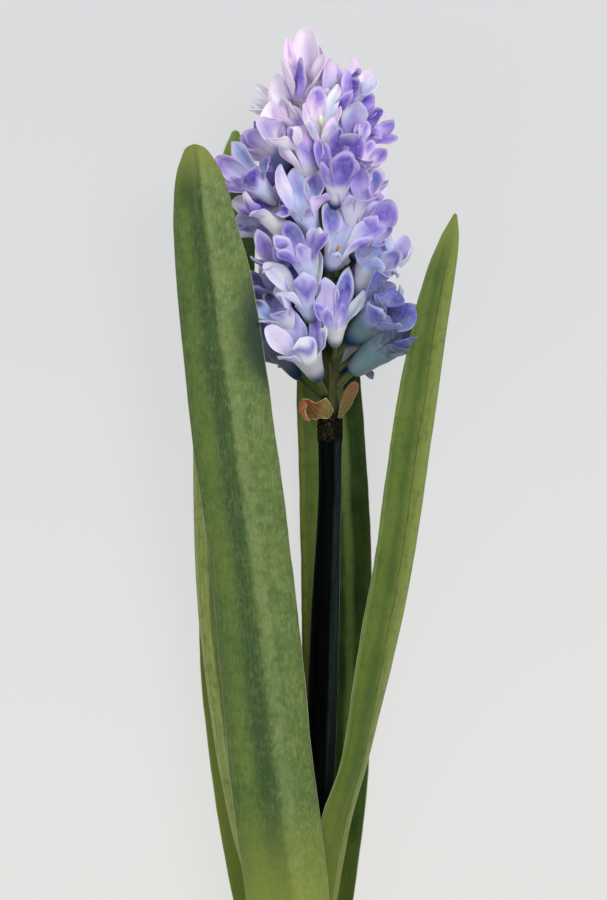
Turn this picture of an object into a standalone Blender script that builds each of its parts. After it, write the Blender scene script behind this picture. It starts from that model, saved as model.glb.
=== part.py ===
"""Hyacinth flower, cut with its leaves and laid on its back.

The stem runs along +Y, the front of the flower faces +Z, and the surface it rests on is z = 0.
Tables are in millimetres and degrees. An azimuth goes round the stem: 0 is the front (+Z),
90 the right (+X), 180 the back (-Z) and -90 the left (-X).
"""

import math

import bmesh
import bpy
import numpy as np
from mathutils import Matrix, Vector

MM = 0.001
GAP = 0.3                      # clearance between pieces that touch

LEAF_THICKNESS = 2.2
LEAF_EDGE = 0.55               # thickness at a leaf's edges, as a part of LEAF_THICKNESS
LEAF_STATIONS = 20             # faces along a leaf
LEAF_COLUMNS = 6               # faces across a leaf

# A leaf is a strip of arcs. Each row is one arc: the height y, the keel's x and z, the azimuth
# that the keel faces, the width measured along the arc, and the angle that the arc turns through.
LEAVES = {
    "front_left_leaf": [
        (-168, -6.7, 26.8, -8, 31, 130),
        (-128, -8.7, 35.2, 4, 34.6, 112),
        (-103, -12.0, 38.8, 1, 34, 100),
        (-77, -15.3, 41.5, -2, 33, 92),
        (-26, -21.2, 44.5, -10, 31, 80),
        (34, -29.7, 47.5, -14, 31, 76),
        (67, -34.0, 48.5, -18, 30, 74),
        (88, -36.3, 48.5, -18, 28, 72),
        (102, -37.8, 48.0, -16, 25, 70),
        (112, -38.9, 47.5, -14, 21.5, 68),
        (120, -39.6, 47.0, -12, 16.0, 64),
        (125.5, -39.9, 46.6, -10, 10.5, 60),
        (129, -40.0, 46.2, -10, 4.5, 60),
    ],
    "front_right_leaf": [
        (-168, 1.0, 18.6, 50, 27, 185),
        (-128, 6.3, 21.9, 50, 22, 132),
        (-103, 10.6, 25.6, 53, 20.5, 104),
        (-81, 15.5, 30.0, 55, 19, 84),
        (-45, 22.2, 36.0, 42, 19.5, 82),
        (-17, 28.4, 38.5, 37, 19.5, 80),
        (36, 36.0, 40.5, 36, 19.5, 78),
        (68, 41.0, 40.5, 36, 17.0, 76),
        (85, 44.3, 40.0, 36, 14.0, 74),
        (97, 46.8, 39.6, 36, 9.0, 70),
        (104.5, 48.0, 39.2, 36, 2.2, 60),
    ],
    "back_centre_leaf": [
        (-168, -2.2, 3.0, 165, 27, 146),
        (-128, 3.5, 1.6, 172, 26, 110),
        (-86, 6.5, 0.4, 178, 26, 84),
        (-45, 7.3, 0.0, 180, 26, 72),
        (-13, 6.8, 0.0, 180, 26, 68),
        (25, 5.6, 0.0, 180, 25, 64),
        (50, 4.6, 0.0, 180, 24, 60),
        (80, 4.0, 0.0, 180, 21, 56),
        (100, 3.6, 0.2, 180, 16, 52),
        (114, 3.2, 0.5, 180, 9, 48),
        (121, 3.0, 0.8, 180, 3, 48),
    ],
    "back_left_leaf": [
        (-168, -13.4, 3.0, 218, 23, 98),
        (-128, -21.6, 2.6, 208, 22, 84),
        (-94, -26.6, 1.5, 202, 21.5, 74),
        (-47, -30.9, 0.8, 196, 21, 66),
        (8, -31.4, 0.5, 192, 21, 62),
        (60, -30.2, 0.2, 188, 20, 60),
        (98, -28.4, 0.3, 186, 17.5, 58),
        (120, -27.4, 0.6, 184, 13, 54),
        (130, -27.2, 1.0, 184, 8, 50),
        (136, -27.0, 1.4, 184, 3, 50),
    ],
    "left_leaf": [
        (-168, -14.7, 18.2, -65, 18.5, 98),
        (-128, -19.8, 21.0, -52, 18, 86),
        (-108, -24.4, 22.8, -46, 17.5, 78),
        (-66, -31.2, 26.5, -40, 17, 72),
        (-22, -35.6, 29.0, -38, 17, 70),
        (28, -37.0, 30.0, -36, 15, 66),
        (56, -37.2, 30.0, -34, 10, 62),
        (72, -37.0, 30.0, -32, 3, 60),
    ],
}

# The flower stem: x, y, z and radius. The stalk is bare up to the lowest florets, and the
# rest is the thinner axis that carries them.
STEM = [
    (-4.6, -168, 13.6, 5.0),
    (-3.2, -150, 14.6, 5.0),
    (-1.0, -128, 16.4, 5.1),
    (0.6, -104, 19.2, 5.2),
    (1.8, -80, 22.0, 5.2),
    (2.7, -54, 24.8, 5.1),
    (3.6, -26, 27.2, 4.7),
    (4.6, 0, 29.4, 4.0),
    (5.1, 14, 30.5, 3.7),
    (5.1, 34, 32.2, 4.1),
    (5.4, 46, 33.0, 3.1),
    (4.4, 76, 34.0, 2.9),
    (2.4, 108, 34.0, 2.5),
    (0.0, 134, 34.0, 2.0),
    (-2.4, 150, 34.0, 1.4),
]
STEM_ROUNDNESS = 3             # bevel resolution of the stem's round section

# Each floret leaves the stem at this height y, at this azimuth, and leans this far from the
# stem. Then come its length from foot to mouth, and the spread of its six lobes, which is
# their tips' distance from the tube's axis.
FLORETS = [
    (42, -32, 38, 20, 8.0),
    (42, -90, 47, 23, 7.5),
    (52, 6, 36, 19, 7.5),
    (44, 84, 44, 22, 7.8),
    (55, 54, 42, 23, 7.5),
    (60, 112, 56, 23, 7.0),
    (61, -38, 37, 19, 6.4),
    (68, -96, 56, 22, 6.5),
    (59, -68, 58, 21, 6.4),
    (78, -74, 48, 20, 6.5),
    (83, -24, 60, 19, 6.0),
    (79, 13, 40, 20, 7.5),
    (76, 56, 52, 21, 7.5),
    (80, 102, 60, 23, 7.0),
    (90, 76, 48, 21, 7.0),
    (88, -46, 30, 18, 6.8),
    (93, -92, 52, 22, 6.8),
    (87, -120, 60, 22, 6.3),
    (96, 44, 36, 20, 6.5),
    (103, 14, 28, 18, 6.2),
    (105, 90, 52, 19, 6.0),
    (112, -31, 30, 17, 6.5),
    (115, -106, 50, 18, 6.0),
    (110, -76, 60, 25, 6.8),
    (121, 50, 38, 16, 6.2),
    (117, 68, 56, 18, 6.3),
    (121, 110, 54, 20, 6.3),
    (128, -64, 54, 14, 5.7),
    (127, 5, 34, 15, 6.0),
    (138, 56, 24, 14, 5.5),
    (133, 96, 34, 16, 5.5),
    (128, 130, 46, 18, 5.5),
    (136, -54, 42, 12, 5.5),
    (148, -30, 14, 15, 6.8),
    (129, -100, 54, 17, 5.8),
    (45, 146, 56, 22, 7.5),
    (46, -140, 56, 22, 7.5),
    (62, 180, 56, 22, 7.5),
    (66, 142, 56, 22, 7.0),
    (66, -132, 56, 22, 7.0),
    (82, 158, 56, 21, 7.5),
    (82, -158, 56, 21, 7.0),
    (97, 130, 56, 20, 7.0),
    (99, 178, 56, 20, 7.0),
    (99, -134, 56, 20, 7.0),
    (115, 152, 54, 17, 6.5),
    (115, -152, 54, 17, 6.5),
    (130, 176, 50, 14, 6.0),
    (133, -136, 46, 13, 5.5),
]
FRONT_SIDES = 18               # points round a floret, a multiple of the six lobes
BACK_SIDES = 12
BACK_AZIMUTH = 115             # florets beyond this azimuth are on the side that rests

# One floret's outline, for a length of 20 from foot to mouth: distance along the tube, radius
# in the notch between lobes, radius at the middle of a lobe, and how much further along the
# middle of the lobe is than the notch. It goes up the outside and down into the throat.
FLORET_OUTLINE = [
    (0.0, 1.0, 1.0, 0.0),
    (3.6, 1.0, 1.0, 0.0),
    (5.6, 2.8, 2.8, 0.0),
    (14.0, 3.8, 3.8, 0.0),
    (17.2, 4.3, 5.4, 2.6),
    (18.6, 4.8, 8.0, 6.4),
    (18.2, 3.5, 4.8, 3.0),
    (15.0, 2.3, 2.3, 0.0),
]
LOBE_TIPS = 5                  # the row of the lobes' edge
THROAT_DEPTH = 10.0
FULL_LENGTH = 20.0

# The papery bracts sit round the stem, just below the lowest florets.
BRACT_THICKNESS = 0.7
BRACT_CLEARANCE = 0.6          # from the stem to a bract's middle surface
LEFT_BRACT = {"foot": 35.8, "azimuth": -48, "half_width": 8.2, "lean": 2.6, "wrap": 4.0}
RIGHT_BRACT = {"foot": 37.5, "azimuth": 56, "half_width": 2.8, "lean": 6.2, "height": 10.0}


def clear_scene():
    for thing in list(bpy.data.objects):
        bpy.data.objects.remove(thing, do_unlink=True)


def make_material(name, colour, roughness, subsurface=0.0):
    material = bpy.data.materials.new(name)
    material.use_nodes = True
    shader = material.node_tree.nodes["Principled BSDF"]
    shader.inputs["Base Color"].default_value = (*colour, 1.0)
    shader.inputs["Roughness"].default_value = roughness
    shader.inputs["Subsurface Weight"].default_value = subsurface
    material.diffuse_color = (*colour, 1.0)
    return material


def add_object(name, shape, material, home):
    """Puts the bmesh into an object of its own, with smooth faces."""
    data = bpy.data.meshes.new(name)
    shape.to_mesh(data)
    shape.free()
    for face in data.polygons:
        face.use_smooth = True
    thing = bpy.data.objects.new(name, data)
    thing.data.materials.append(material)
    home.objects.link(thing)
    return thing


def smooth_between(rows, where):
    """Smooth monotone curves through the rows: the first column is the position along them."""
    table = np.array(rows, float)
    at, values = table[:, 0], table[:, 1:]
    step = np.diff(at)[:, None]
    slope = np.diff(values, axis=0) / step
    inner = np.where(
        slope[:-1] * slope[1:] > 0,
        2 * slope[:-1] * slope[1:] / (slope[:-1] + slope[1:] + 1e-12),
        0.0,
    )
    tangent = np.vstack([slope[:1], inner, slope[-1:]])
    index = np.clip(np.searchsorted(at, where) - 1, 0, len(at) - 2)
    t = ((where - at[index]) / (at[index + 1] - at[index]))[:, None]
    width = (at[index + 1] - at[index])[:, None]
    return (
        (2 * t**3 - 3 * t**2 + 1) * values[index]
        + (t**3 - 2 * t**2 + t) * width * tangent[index]
        + (3 * t**2 - 2 * t**3) * values[index + 1]
        + (t**3 - t**2) * width * tangent[index + 1]
    )


def make_leaf(name, rows, material, home):
    """A grid bent into the arcs of its table, thickened towards the stem."""
    shape = bmesh.new()
    bmesh.ops.create_grid(shape, x_segments=LEAF_COLUMNS, y_segments=LEAF_STATIONS, size=1.0)
    low, high = rows[0][0], rows[-1][0]
    steps = np.linspace(0, 1, LEAF_STATIONS + 1)
    heights = low + (high - low) * (1 - (1 - steps) ** 1.5)
    arcs = smooth_between(rows, heights)
    thickness = shape.verts.layers.deform.verify()
    for vert in shape.verts:
        across = vert.co.x
        station = round((vert.co.y + 1) / 2 * LEAF_STATIONS)
        x, z, azimuth, width, turn = arcs[station]
        radius = width / math.radians(turn)
        keel = math.radians(azimuth)
        angle = keel + across * math.radians(turn) / 2
        vert.co = Vector((
            (x + radius * (math.sin(angle) - math.sin(keel))) * MM,
            heights[station] * MM,
            (z + radius * (math.cos(angle) - math.cos(keel))) * MM,
        ))
        vert[thickness][0] = 1 - (1 - LEAF_EDGE) * abs(across) ** 3
    bmesh.ops.recalc_face_normals(shape, faces=shape.faces[:])
    middle = shape.faces[:][len(shape.faces) // 2]
    keel = math.radians(rows[len(rows) // 2][3])
    if middle.normal.dot(Vector((math.sin(keel), 0, math.cos(keel)))) < 0:
        bmesh.ops.reverse_faces(shape, faces=shape.faces[:])
    leaf = add_object(name, shape, material, home)
    leaf.vertex_groups.new(name="thickness")
    shell = leaf.modifiers.new("thickness", "SOLIDIFY")
    shell.thickness = LEAF_THICKNESS * MM
    shell.offset = -1
    shell.use_even_offset = True
    shell.vertex_group = "thickness"


def stem_at(height):
    """The stem's centre and radius at a height y."""
    table = np.array(STEM, float)
    x, z, radius = (np.interp(height, table[:, 1], table[:, k]) for k in (0, 2, 3))
    return Vector((x, height, z)), radius


def make_stem(material, home):
    curve = bpy.data.curves.new("flower_stem", "CURVE")
    curve.dimensions = "3D"
    curve.bevel_depth = MM
    curve.bevel_resolution = STEM_ROUNDNESS
    curve.use_fill_caps = True
    line = curve.splines.new("POLY")
    line.points.add(len(STEM) - 1)
    for point, (x, y, z, radius) in zip(line.points, STEM):
        point.co = (x * MM, y * MM, z * MM, 1.0)
        point.radius = radius
    line.use_smooth = True
    thing = bpy.data.objects.new("flower_stem", curve)
    thing.data.materials.append(material)
    home.objects.link(thing)


def make_floret(name, row, material, home):
    """A sphere reshaped ring by ring: its first pole is the foot of the floret's stalk, its
    rings go up the outside to the lobes' edge, and its last pole is the bottom of the throat."""
    height, azimuth, lean, length, spread = row
    sides = BACK_SIDES if abs(azimuth) > BACK_AZIMUTH else FRONT_SIDES
    centre, stem_radius = stem_at(height)
    around, away = math.radians(azimuth), math.radians(lean)
    outward = Vector((math.sin(around), 0, math.cos(around)))
    axis = outward * math.sin(away) + Vector((0, math.cos(away), 0))
    size = length / FULL_LENGTH
    foot = centre + outward * (stem_radius + GAP + size * math.cos(away))
    rings = len(FLORET_OUTLINE)
    shape = bmesh.new()
    bmesh.ops.create_uvsphere(shape, u_segments=sides, v_segments=rings + 1, radius=1.0)
    side = Vector((0, 1, 0)).cross(axis).normalized()
    frame = Matrix((side, axis.cross(side), axis)).transposed()
    for vert in shape.verts:
        ring = round((math.pi - math.acos(max(-1, min(1, vert.co.z)))) / math.pi * (rings + 1))
        turn = math.atan2(vert.co.y, vert.co.x)
        if ring == 0:
            here = Vector((0, 0, 0))
        elif ring == rings + 1:
            here = Vector((0, 0, THROAT_DEPTH * size))
        else:
            along, notch, middle, ahead = FLORET_OUTLINE[ring - 1]
            if ring - 1 == LOBE_TIPS:
                middle = spread / size
            lobe = (0.5 - 0.5 * math.cos(6 * turn)) ** 0.6
            radius = notch + (middle - notch) * lobe
            along += ahead * lobe
            here = Vector((radius * math.cos(turn), radius * math.sin(turn), along)) * size
        vert.co = (foot + frame @ here) * MM
    add_object(name, shape, material, home)


def make_bract(name, bend, material, home):
    """A small papery scale: a grid placed by the function bend, then thickened."""
    shape = bmesh.new()
    bmesh.ops.create_grid(shape, x_segments=6, y_segments=4, size=1.0)
    for vert in shape.verts:
        vert.co = bend(vert.co.x, (vert.co.y + 1) / 2) * MM
    bmesh.ops.recalc_face_normals(shape, faces=shape.faces[:])
    scale = add_object(name, shape, material, home)
    shell = scale.modifiers.new("thickness", "SOLIDIFY")
    shell.thickness = BRACT_THICKNESS * MM
    shell.offset = 0
    shell.use_even_offset = True


def bend_left_bract(across, up):
    """A broad scale on the front left of the stem: two points above, and its ends bent back."""
    centre, stem_radius = stem_at(LEFT_BRACT["foot"])
    angle = math.radians(LEFT_BRACT["azimuth"])
    two_points = math.sin(math.pi * abs(across) ** 1.3) ** 2
    height = 3.4 + 3.2 * two_points + 0.6 * abs(across)
    out = stem_radius + BRACT_CLEARANCE + GAP
    out += LEFT_BRACT["lean"] * up * up - LEFT_BRACT["wrap"] * across * across
    aside = LEFT_BRACT["half_width"] * across * (0.8 + 0.2 * up)
    return Vector((
        centre.x + out * math.sin(angle) + aside * math.cos(angle),
        LEFT_BRACT["foot"] + height * up,
        centre.z + out * math.cos(angle) - aside * math.sin(angle),
    ))


def bend_right_bract(across, up):
    """A narrow tongue that leans away from the stem on the right."""
    centre, stem_radius = stem_at(RIGHT_BRACT["foot"])
    out = stem_radius + BRACT_CLEARANCE + GAP + RIGHT_BRACT["lean"] * up
    half_width = RIGHT_BRACT["half_width"] * (1 - 0.5 * up * up)
    angle = math.radians(RIGHT_BRACT["azimuth"]) + across * half_width / out
    return Vector((
        centre.x + out * math.sin(angle),
        RIGHT_BRACT["foot"] + RIGHT_BRACT["height"] * up,
        centre.z + out * math.cos(angle),
    ))


clear_scene()
home = bpy.data.collections.new("hyacinth_flower")
bpy.context.scene.collection.children.link(home)

leaf_greens = {
    "front_left_leaf": (0.105, 0.175, 0.052),
    "front_right_leaf": (0.120, 0.185, 0.045),
    "back_centre_leaf": (0.085, 0.150, 0.040),
    "back_left_leaf": (0.040, 0.085, 0.022),
    "left_leaf": (0.095, 0.145, 0.040),
}
for name, rows in LEAVES.items():
    leaf_green = make_material(name.replace("leaf", "green"), leaf_greens[name], 0.5)
    make_leaf(name, rows, leaf_green, home)
make_stem(make_material("stem_dark_green", (0.020, 0.030, 0.012), 0.45), home)
papery_brown = make_material("papery_brown", (0.36, 0.14, 0.06), 0.7)
make_bract("left_bract", bend_left_bract, papery_brown, home)
make_bract("right_bract", bend_right_bract, papery_brown, home)
petal_lilac = make_material("petal_lilac", (0.42, 0.40, 0.74), 0.55, 0.1)
for number, row in enumerate(FLORETS, 1):
    make_floret(f"floret_{number:02d}", row, petal_lilac, home)
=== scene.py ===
import math

import bmesh
import bpy
import numpy as np
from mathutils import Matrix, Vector


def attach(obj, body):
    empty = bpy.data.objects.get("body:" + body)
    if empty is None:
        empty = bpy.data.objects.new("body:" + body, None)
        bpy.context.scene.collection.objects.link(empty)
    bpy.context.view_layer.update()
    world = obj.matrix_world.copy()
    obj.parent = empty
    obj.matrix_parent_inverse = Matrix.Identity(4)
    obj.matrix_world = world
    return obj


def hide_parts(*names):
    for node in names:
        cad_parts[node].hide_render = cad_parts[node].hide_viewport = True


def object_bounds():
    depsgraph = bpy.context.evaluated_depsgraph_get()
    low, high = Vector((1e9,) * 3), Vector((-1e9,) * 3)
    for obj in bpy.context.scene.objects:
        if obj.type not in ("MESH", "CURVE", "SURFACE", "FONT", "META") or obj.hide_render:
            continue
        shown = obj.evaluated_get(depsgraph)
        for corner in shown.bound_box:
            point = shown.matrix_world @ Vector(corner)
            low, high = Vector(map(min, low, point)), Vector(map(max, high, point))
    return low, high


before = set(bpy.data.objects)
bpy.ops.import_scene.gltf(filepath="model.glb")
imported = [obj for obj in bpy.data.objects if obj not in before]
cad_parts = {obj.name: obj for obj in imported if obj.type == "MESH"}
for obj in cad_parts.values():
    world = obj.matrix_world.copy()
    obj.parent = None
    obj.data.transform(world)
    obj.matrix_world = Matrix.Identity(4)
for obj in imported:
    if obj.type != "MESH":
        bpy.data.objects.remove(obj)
cadLow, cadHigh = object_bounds()
print("frame loaded:", len(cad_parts), "nodes")

mm = 0.001               # tables are in millimetres, meshes in metres


def linear(red, green, blue):
    # screen colour, 0 to 255, to linear light: ((c + 0.055) / 1.055) ^ 2.4, or c / 12.92 when dark
    c = np.array([red, green, blue]) / 255
    return np.where(c > 0.04045, ((c + 0.055) / 1.055) ** 2.4, c / 12.92)


def smoothBetween(rows, where):
    # cubic Hermite through the rows, with slopes that never overshoot: the harmonic mean of neighbours
    table = np.array(rows, float)
    at, values = table[:, 0], table[:, 1:]
    slope = np.diff(values, axis=0) / np.diff(at)[:, None]
    product = slope[:-1] * slope[1:]
    inner = np.where(product > 0, 2 * product / (slope[:-1] + slope[1:] + 1e-12), 0)
    tangent = np.vstack([slope[:1], inner, slope[-1:]])
    index = np.clip(np.searchsorted(at, where) - 1, 0, len(at) - 2)
    width = (at[index + 1] - at[index])[:, None]
    t = (np.asarray(where) - at[index])[:, None] / width
    return (
        (2 * t**3 - 3 * t**2 + 1) * values[index]
        + (t**3 - 2 * t**2 + t) * width * tangent[index]
        + (3 * t**2 - 2 * t**3) * values[index + 1]
        + (t**3 - t**2) * width * tangent[index + 1]
    )


def ease(low, high, x):
    # 0 below low, 1 above high, and 3t^2 - 2t^3 between them
    t = np.clip((x - low) / (high - low), 0, 1)
    return t * t * (3 - 2 * t)


def hump(x, width):
    # a bell: e to the -(x / width)^2
    return np.exp(-((x / width) ** 2))


def ripple(x, seed, waves=5, longest=1.0):
    # a sum of sines, each shorter and lower than the last, with seeded phases: from about -1 to 1
    rng = np.random.default_rng(seed)
    phases, shares = rng.uniform(0, 2 * math.pi, waves), 1.7 ** np.arange(waves)
    total = sum(np.sin(2 * math.pi * x * s / longest + p) / s**0.7 for s, p in zip(shares, phases))
    return total / sum(1 / shares**0.7) * 1.5


def gridFaces(rows, columns, closed=False):
    # the quads of a grid of points, in row order; closed joins its last column to its first
    row, column = np.meshgrid(np.arange(rows - 1), np.arange(columns - (not closed)), indexing="ij")
    right = (column + 1) % columns
    corners = (row * columns + column, row * columns + right,
               (row + 1) * columns + right, (row + 1) * columns + column)
    return np.stack([c.ravel() for c in corners], axis=1)


def closeEnds(points, further=(0, 0, 0)):
    # one more ring at each end, all of it at that end's middle; the last one may stand further out
    first, last = points[0].mean(axis=0), points[-1].mean(axis=0) + further
    shape = points[:1].shape
    return np.concatenate([np.broadcast_to(first, shape), points, np.broadcast_to(last, shape)])


def buildPiece(name, points, faces, material, numbers=None, colours=None):
    # grids of points (mm) and quads to a smooth mesh; points that meet are merged, so poles and seams close
    points = points.reshape(-1, 3)
    data = bpy.data.meshes.new(name)
    data.vertices.add(len(points))
    data.vertices.foreach_set("co", (points * mm).astype(np.float32).ravel())
    data.loops.add(faces.size)
    data.loops.foreach_set("vertex_index", faces.astype(np.int32).ravel())
    data.polygons.add(len(faces))
    data.polygons.foreach_set("loop_start", np.arange(0, faces.size, 4, dtype=np.int32))
    data.update(calc_edges=True)
    for key, values in (numbers or {}).items():
        held = data.attributes.new(key, "FLOAT", "POINT").data
        held.foreach_set("value", values.astype(np.float32).ravel())
    if colours is not None:
        rgba = np.concatenate([colours.reshape(-1, 3), np.ones((len(points), 1))], axis=1)
        held = data.attributes.new("tone", "FLOAT_COLOR", "POINT").data
        held.foreach_set("color", rgba.astype(np.float32).ravel())
    shape = bmesh.new()
    shape.from_mesh(data)
    bmesh.ops.remove_doubles(shape, verts=shape.verts[:], dist=2e-6)
    shape.to_mesh(data)
    shape.free()
    data.polygons.foreach_set("use_smooth", np.ones(len(data.polygons), bool))
    data.materials.append(material)
    piece = bpy.data.objects.new(name, data)
    bpy.context.scene.collection.objects.link(piece)
    return piece


def thicken(piece, thickness, offset):
    # the sheet gets a wall of this thickness (mm)
    shell = piece.modifiers.new("thickness", "SOLIDIFY")
    shell.thickness, shell.offset = thickness * mm, offset


def hand(piece, slot, *nodes):
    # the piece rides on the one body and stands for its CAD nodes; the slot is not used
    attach(piece, "root")
    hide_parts(*nodes)


class Finish:
    # one material: its nodes, and the colour that its layers build up

    def __init__(self, name, **shaderValues):
        self.material = bpy.data.materials.new(name)
        self.material.use_nodes = True
        self.tree = self.material.node_tree
        self.shader = self.tree.nodes["Principled BSDF"]
        for key, value in shaderValues.items():
            self.shader.inputs[key.replace("_", " ")].default_value = value
        self.place = self.add("TexCoord").outputs["Object"]

    def add(self, kind, sockets=None, **settings):
        made = self.tree.nodes.new("ShaderNode" + kind)
        for key, value in settings.items():
            setattr(made, key, value)
        for key, value in (sockets or {}).items():
            if isinstance(value, bpy.types.NodeSocket):
                self.tree.links.new(value, made.inputs[key])
            else:
                made.inputs[key].default_value = value
        return made

    def number(self, operation, *values):
        return self.add("Math", dict(enumerate(values)), operation=operation).outputs[0]

    def times(self, a, b):
        return self.number("MULTIPLY", a, b)

    def away(self, value, middle):
        # how far the value is from the middle, on either side
        return self.number("ABSOLUTE", self.number("SUBTRACT", value, middle))

    def read(self, key, output="Fac"):
        return self.add("Attribute", attribute_name=key, attribute_type="GEOMETRY").outputs[output]

    def span(self, value, low, high, to0=0.0, to1=1.0):
        # the value's range low to high stretched to the range to0 to to1, with soft ends
        sockets = {"Value": value, "From Min": low, "From Max": high, "To Min": to0, "To Max": to1}
        return self.add("MapRange", sockets, interpolation_type="SMOOTHSTEP").outputs[0]

    def noise(self, vector, scale, detail=3.0, roughness=0.55, distortion=0.0):
        sockets = {"Vector": vector, "Scale": scale, "Detail": detail, "Roughness": roughness}
        return self.add("TexNoise", {**sockets, "Distortion": distortion}).outputs[0]

    def vector(self, x, y, z):
        return self.add("CombineXYZ", {0: x, 1: y, 2: z}).outputs[0]

    def stretched(self, scale, turn=0.0):
        # the object's own coordinates, scaled and turned about z
        sockets = {"Vector": self.place, "Rotation": (0, 0, turn), "Scale": scale}
        return self.add("Mapping", sockets).outputs[0]

    def mix(self, share, a, b, blend="MIX"):
        # a and b are sockets or screen colours
        sides = {6: a, 7: b}
        sides = {k: v if isinstance(v, bpy.types.NodeSocket) else (*linear(*v), 1) for k, v in sides.items()}
        return self.add("Mix", {0: share, **sides}, data_type="RGBA", blend_type=blend).outputs[2]

    def over(self, tone, share):
        # one more layer: the tone goes over the colour so far by its share
        self.colour = self.mix(share, self.colour, tone)

    def lay(self, tone, pattern, low, high, amount=1.0):
        # the tone goes over the colour so far, by up to this amount, as the pattern goes from low to high
        self.over(tone, self.span(pattern, low, high, 0.0, amount))

    def done(self, height, strength, depth, roughness=None):
        # the colour, a bump of this depth (mm) and any varying roughness go to the shader
        bump = self.add("Bump", {"Height": height, "Strength": strength, "Distance": depth * mm}).outputs[0]
        for key, socket in (("Base Color", self.colour), ("Normal", bump), ("Roughness", roughness)):
            if socket is not None:
                self.tree.links.new(socket, self.shader.inputs[key])
        return self.material


# the leaves

leafShape = {
    "thickness": 2.2,        # at the keel
    "edgeThickness": 0.7,    # at the margins
    "rows": 190,             # points along a leaf
    "columns": 60,           # points across one face of a leaf
    "edgeCrowding": 0.93,    # how strongly the points crowd towards the margins, up to 1
    "veins": 17,             # ridges across a leaf
    "veinDepth": 0.07,
    "uneven": 0.12,          # soft rises and hollows of the outer face
    "marginWaver": 0.42,     # how far the cut of the margin wanders
    "tipOut": 0.5,           # how far the closed tip stands past the last row
    "streaks": (9.0, 0.06),  # broad streaks: across the leaf, and for each millimetre along it
    "fibres": (30.0, 0.10),  # fine ones
    "mottle": 330.0,         # the scales of three patterns, for each metre
    "cloud": 60.0,
    "bloom": 1300.0,
    "tones": {               # colours here are screen colours, red, green and blue from 0 to 255
        "streak": (62, 86, 30), "cloud": (112, 128, 50), "bloom": (134, 149, 98), "mottle": (54, 78, 32),
        "pale": (150, 162, 112), "fibre": (132, 146, 88), "line": (70, 84, 56), "margin": (184, 192, 158),
    },
}
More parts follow.
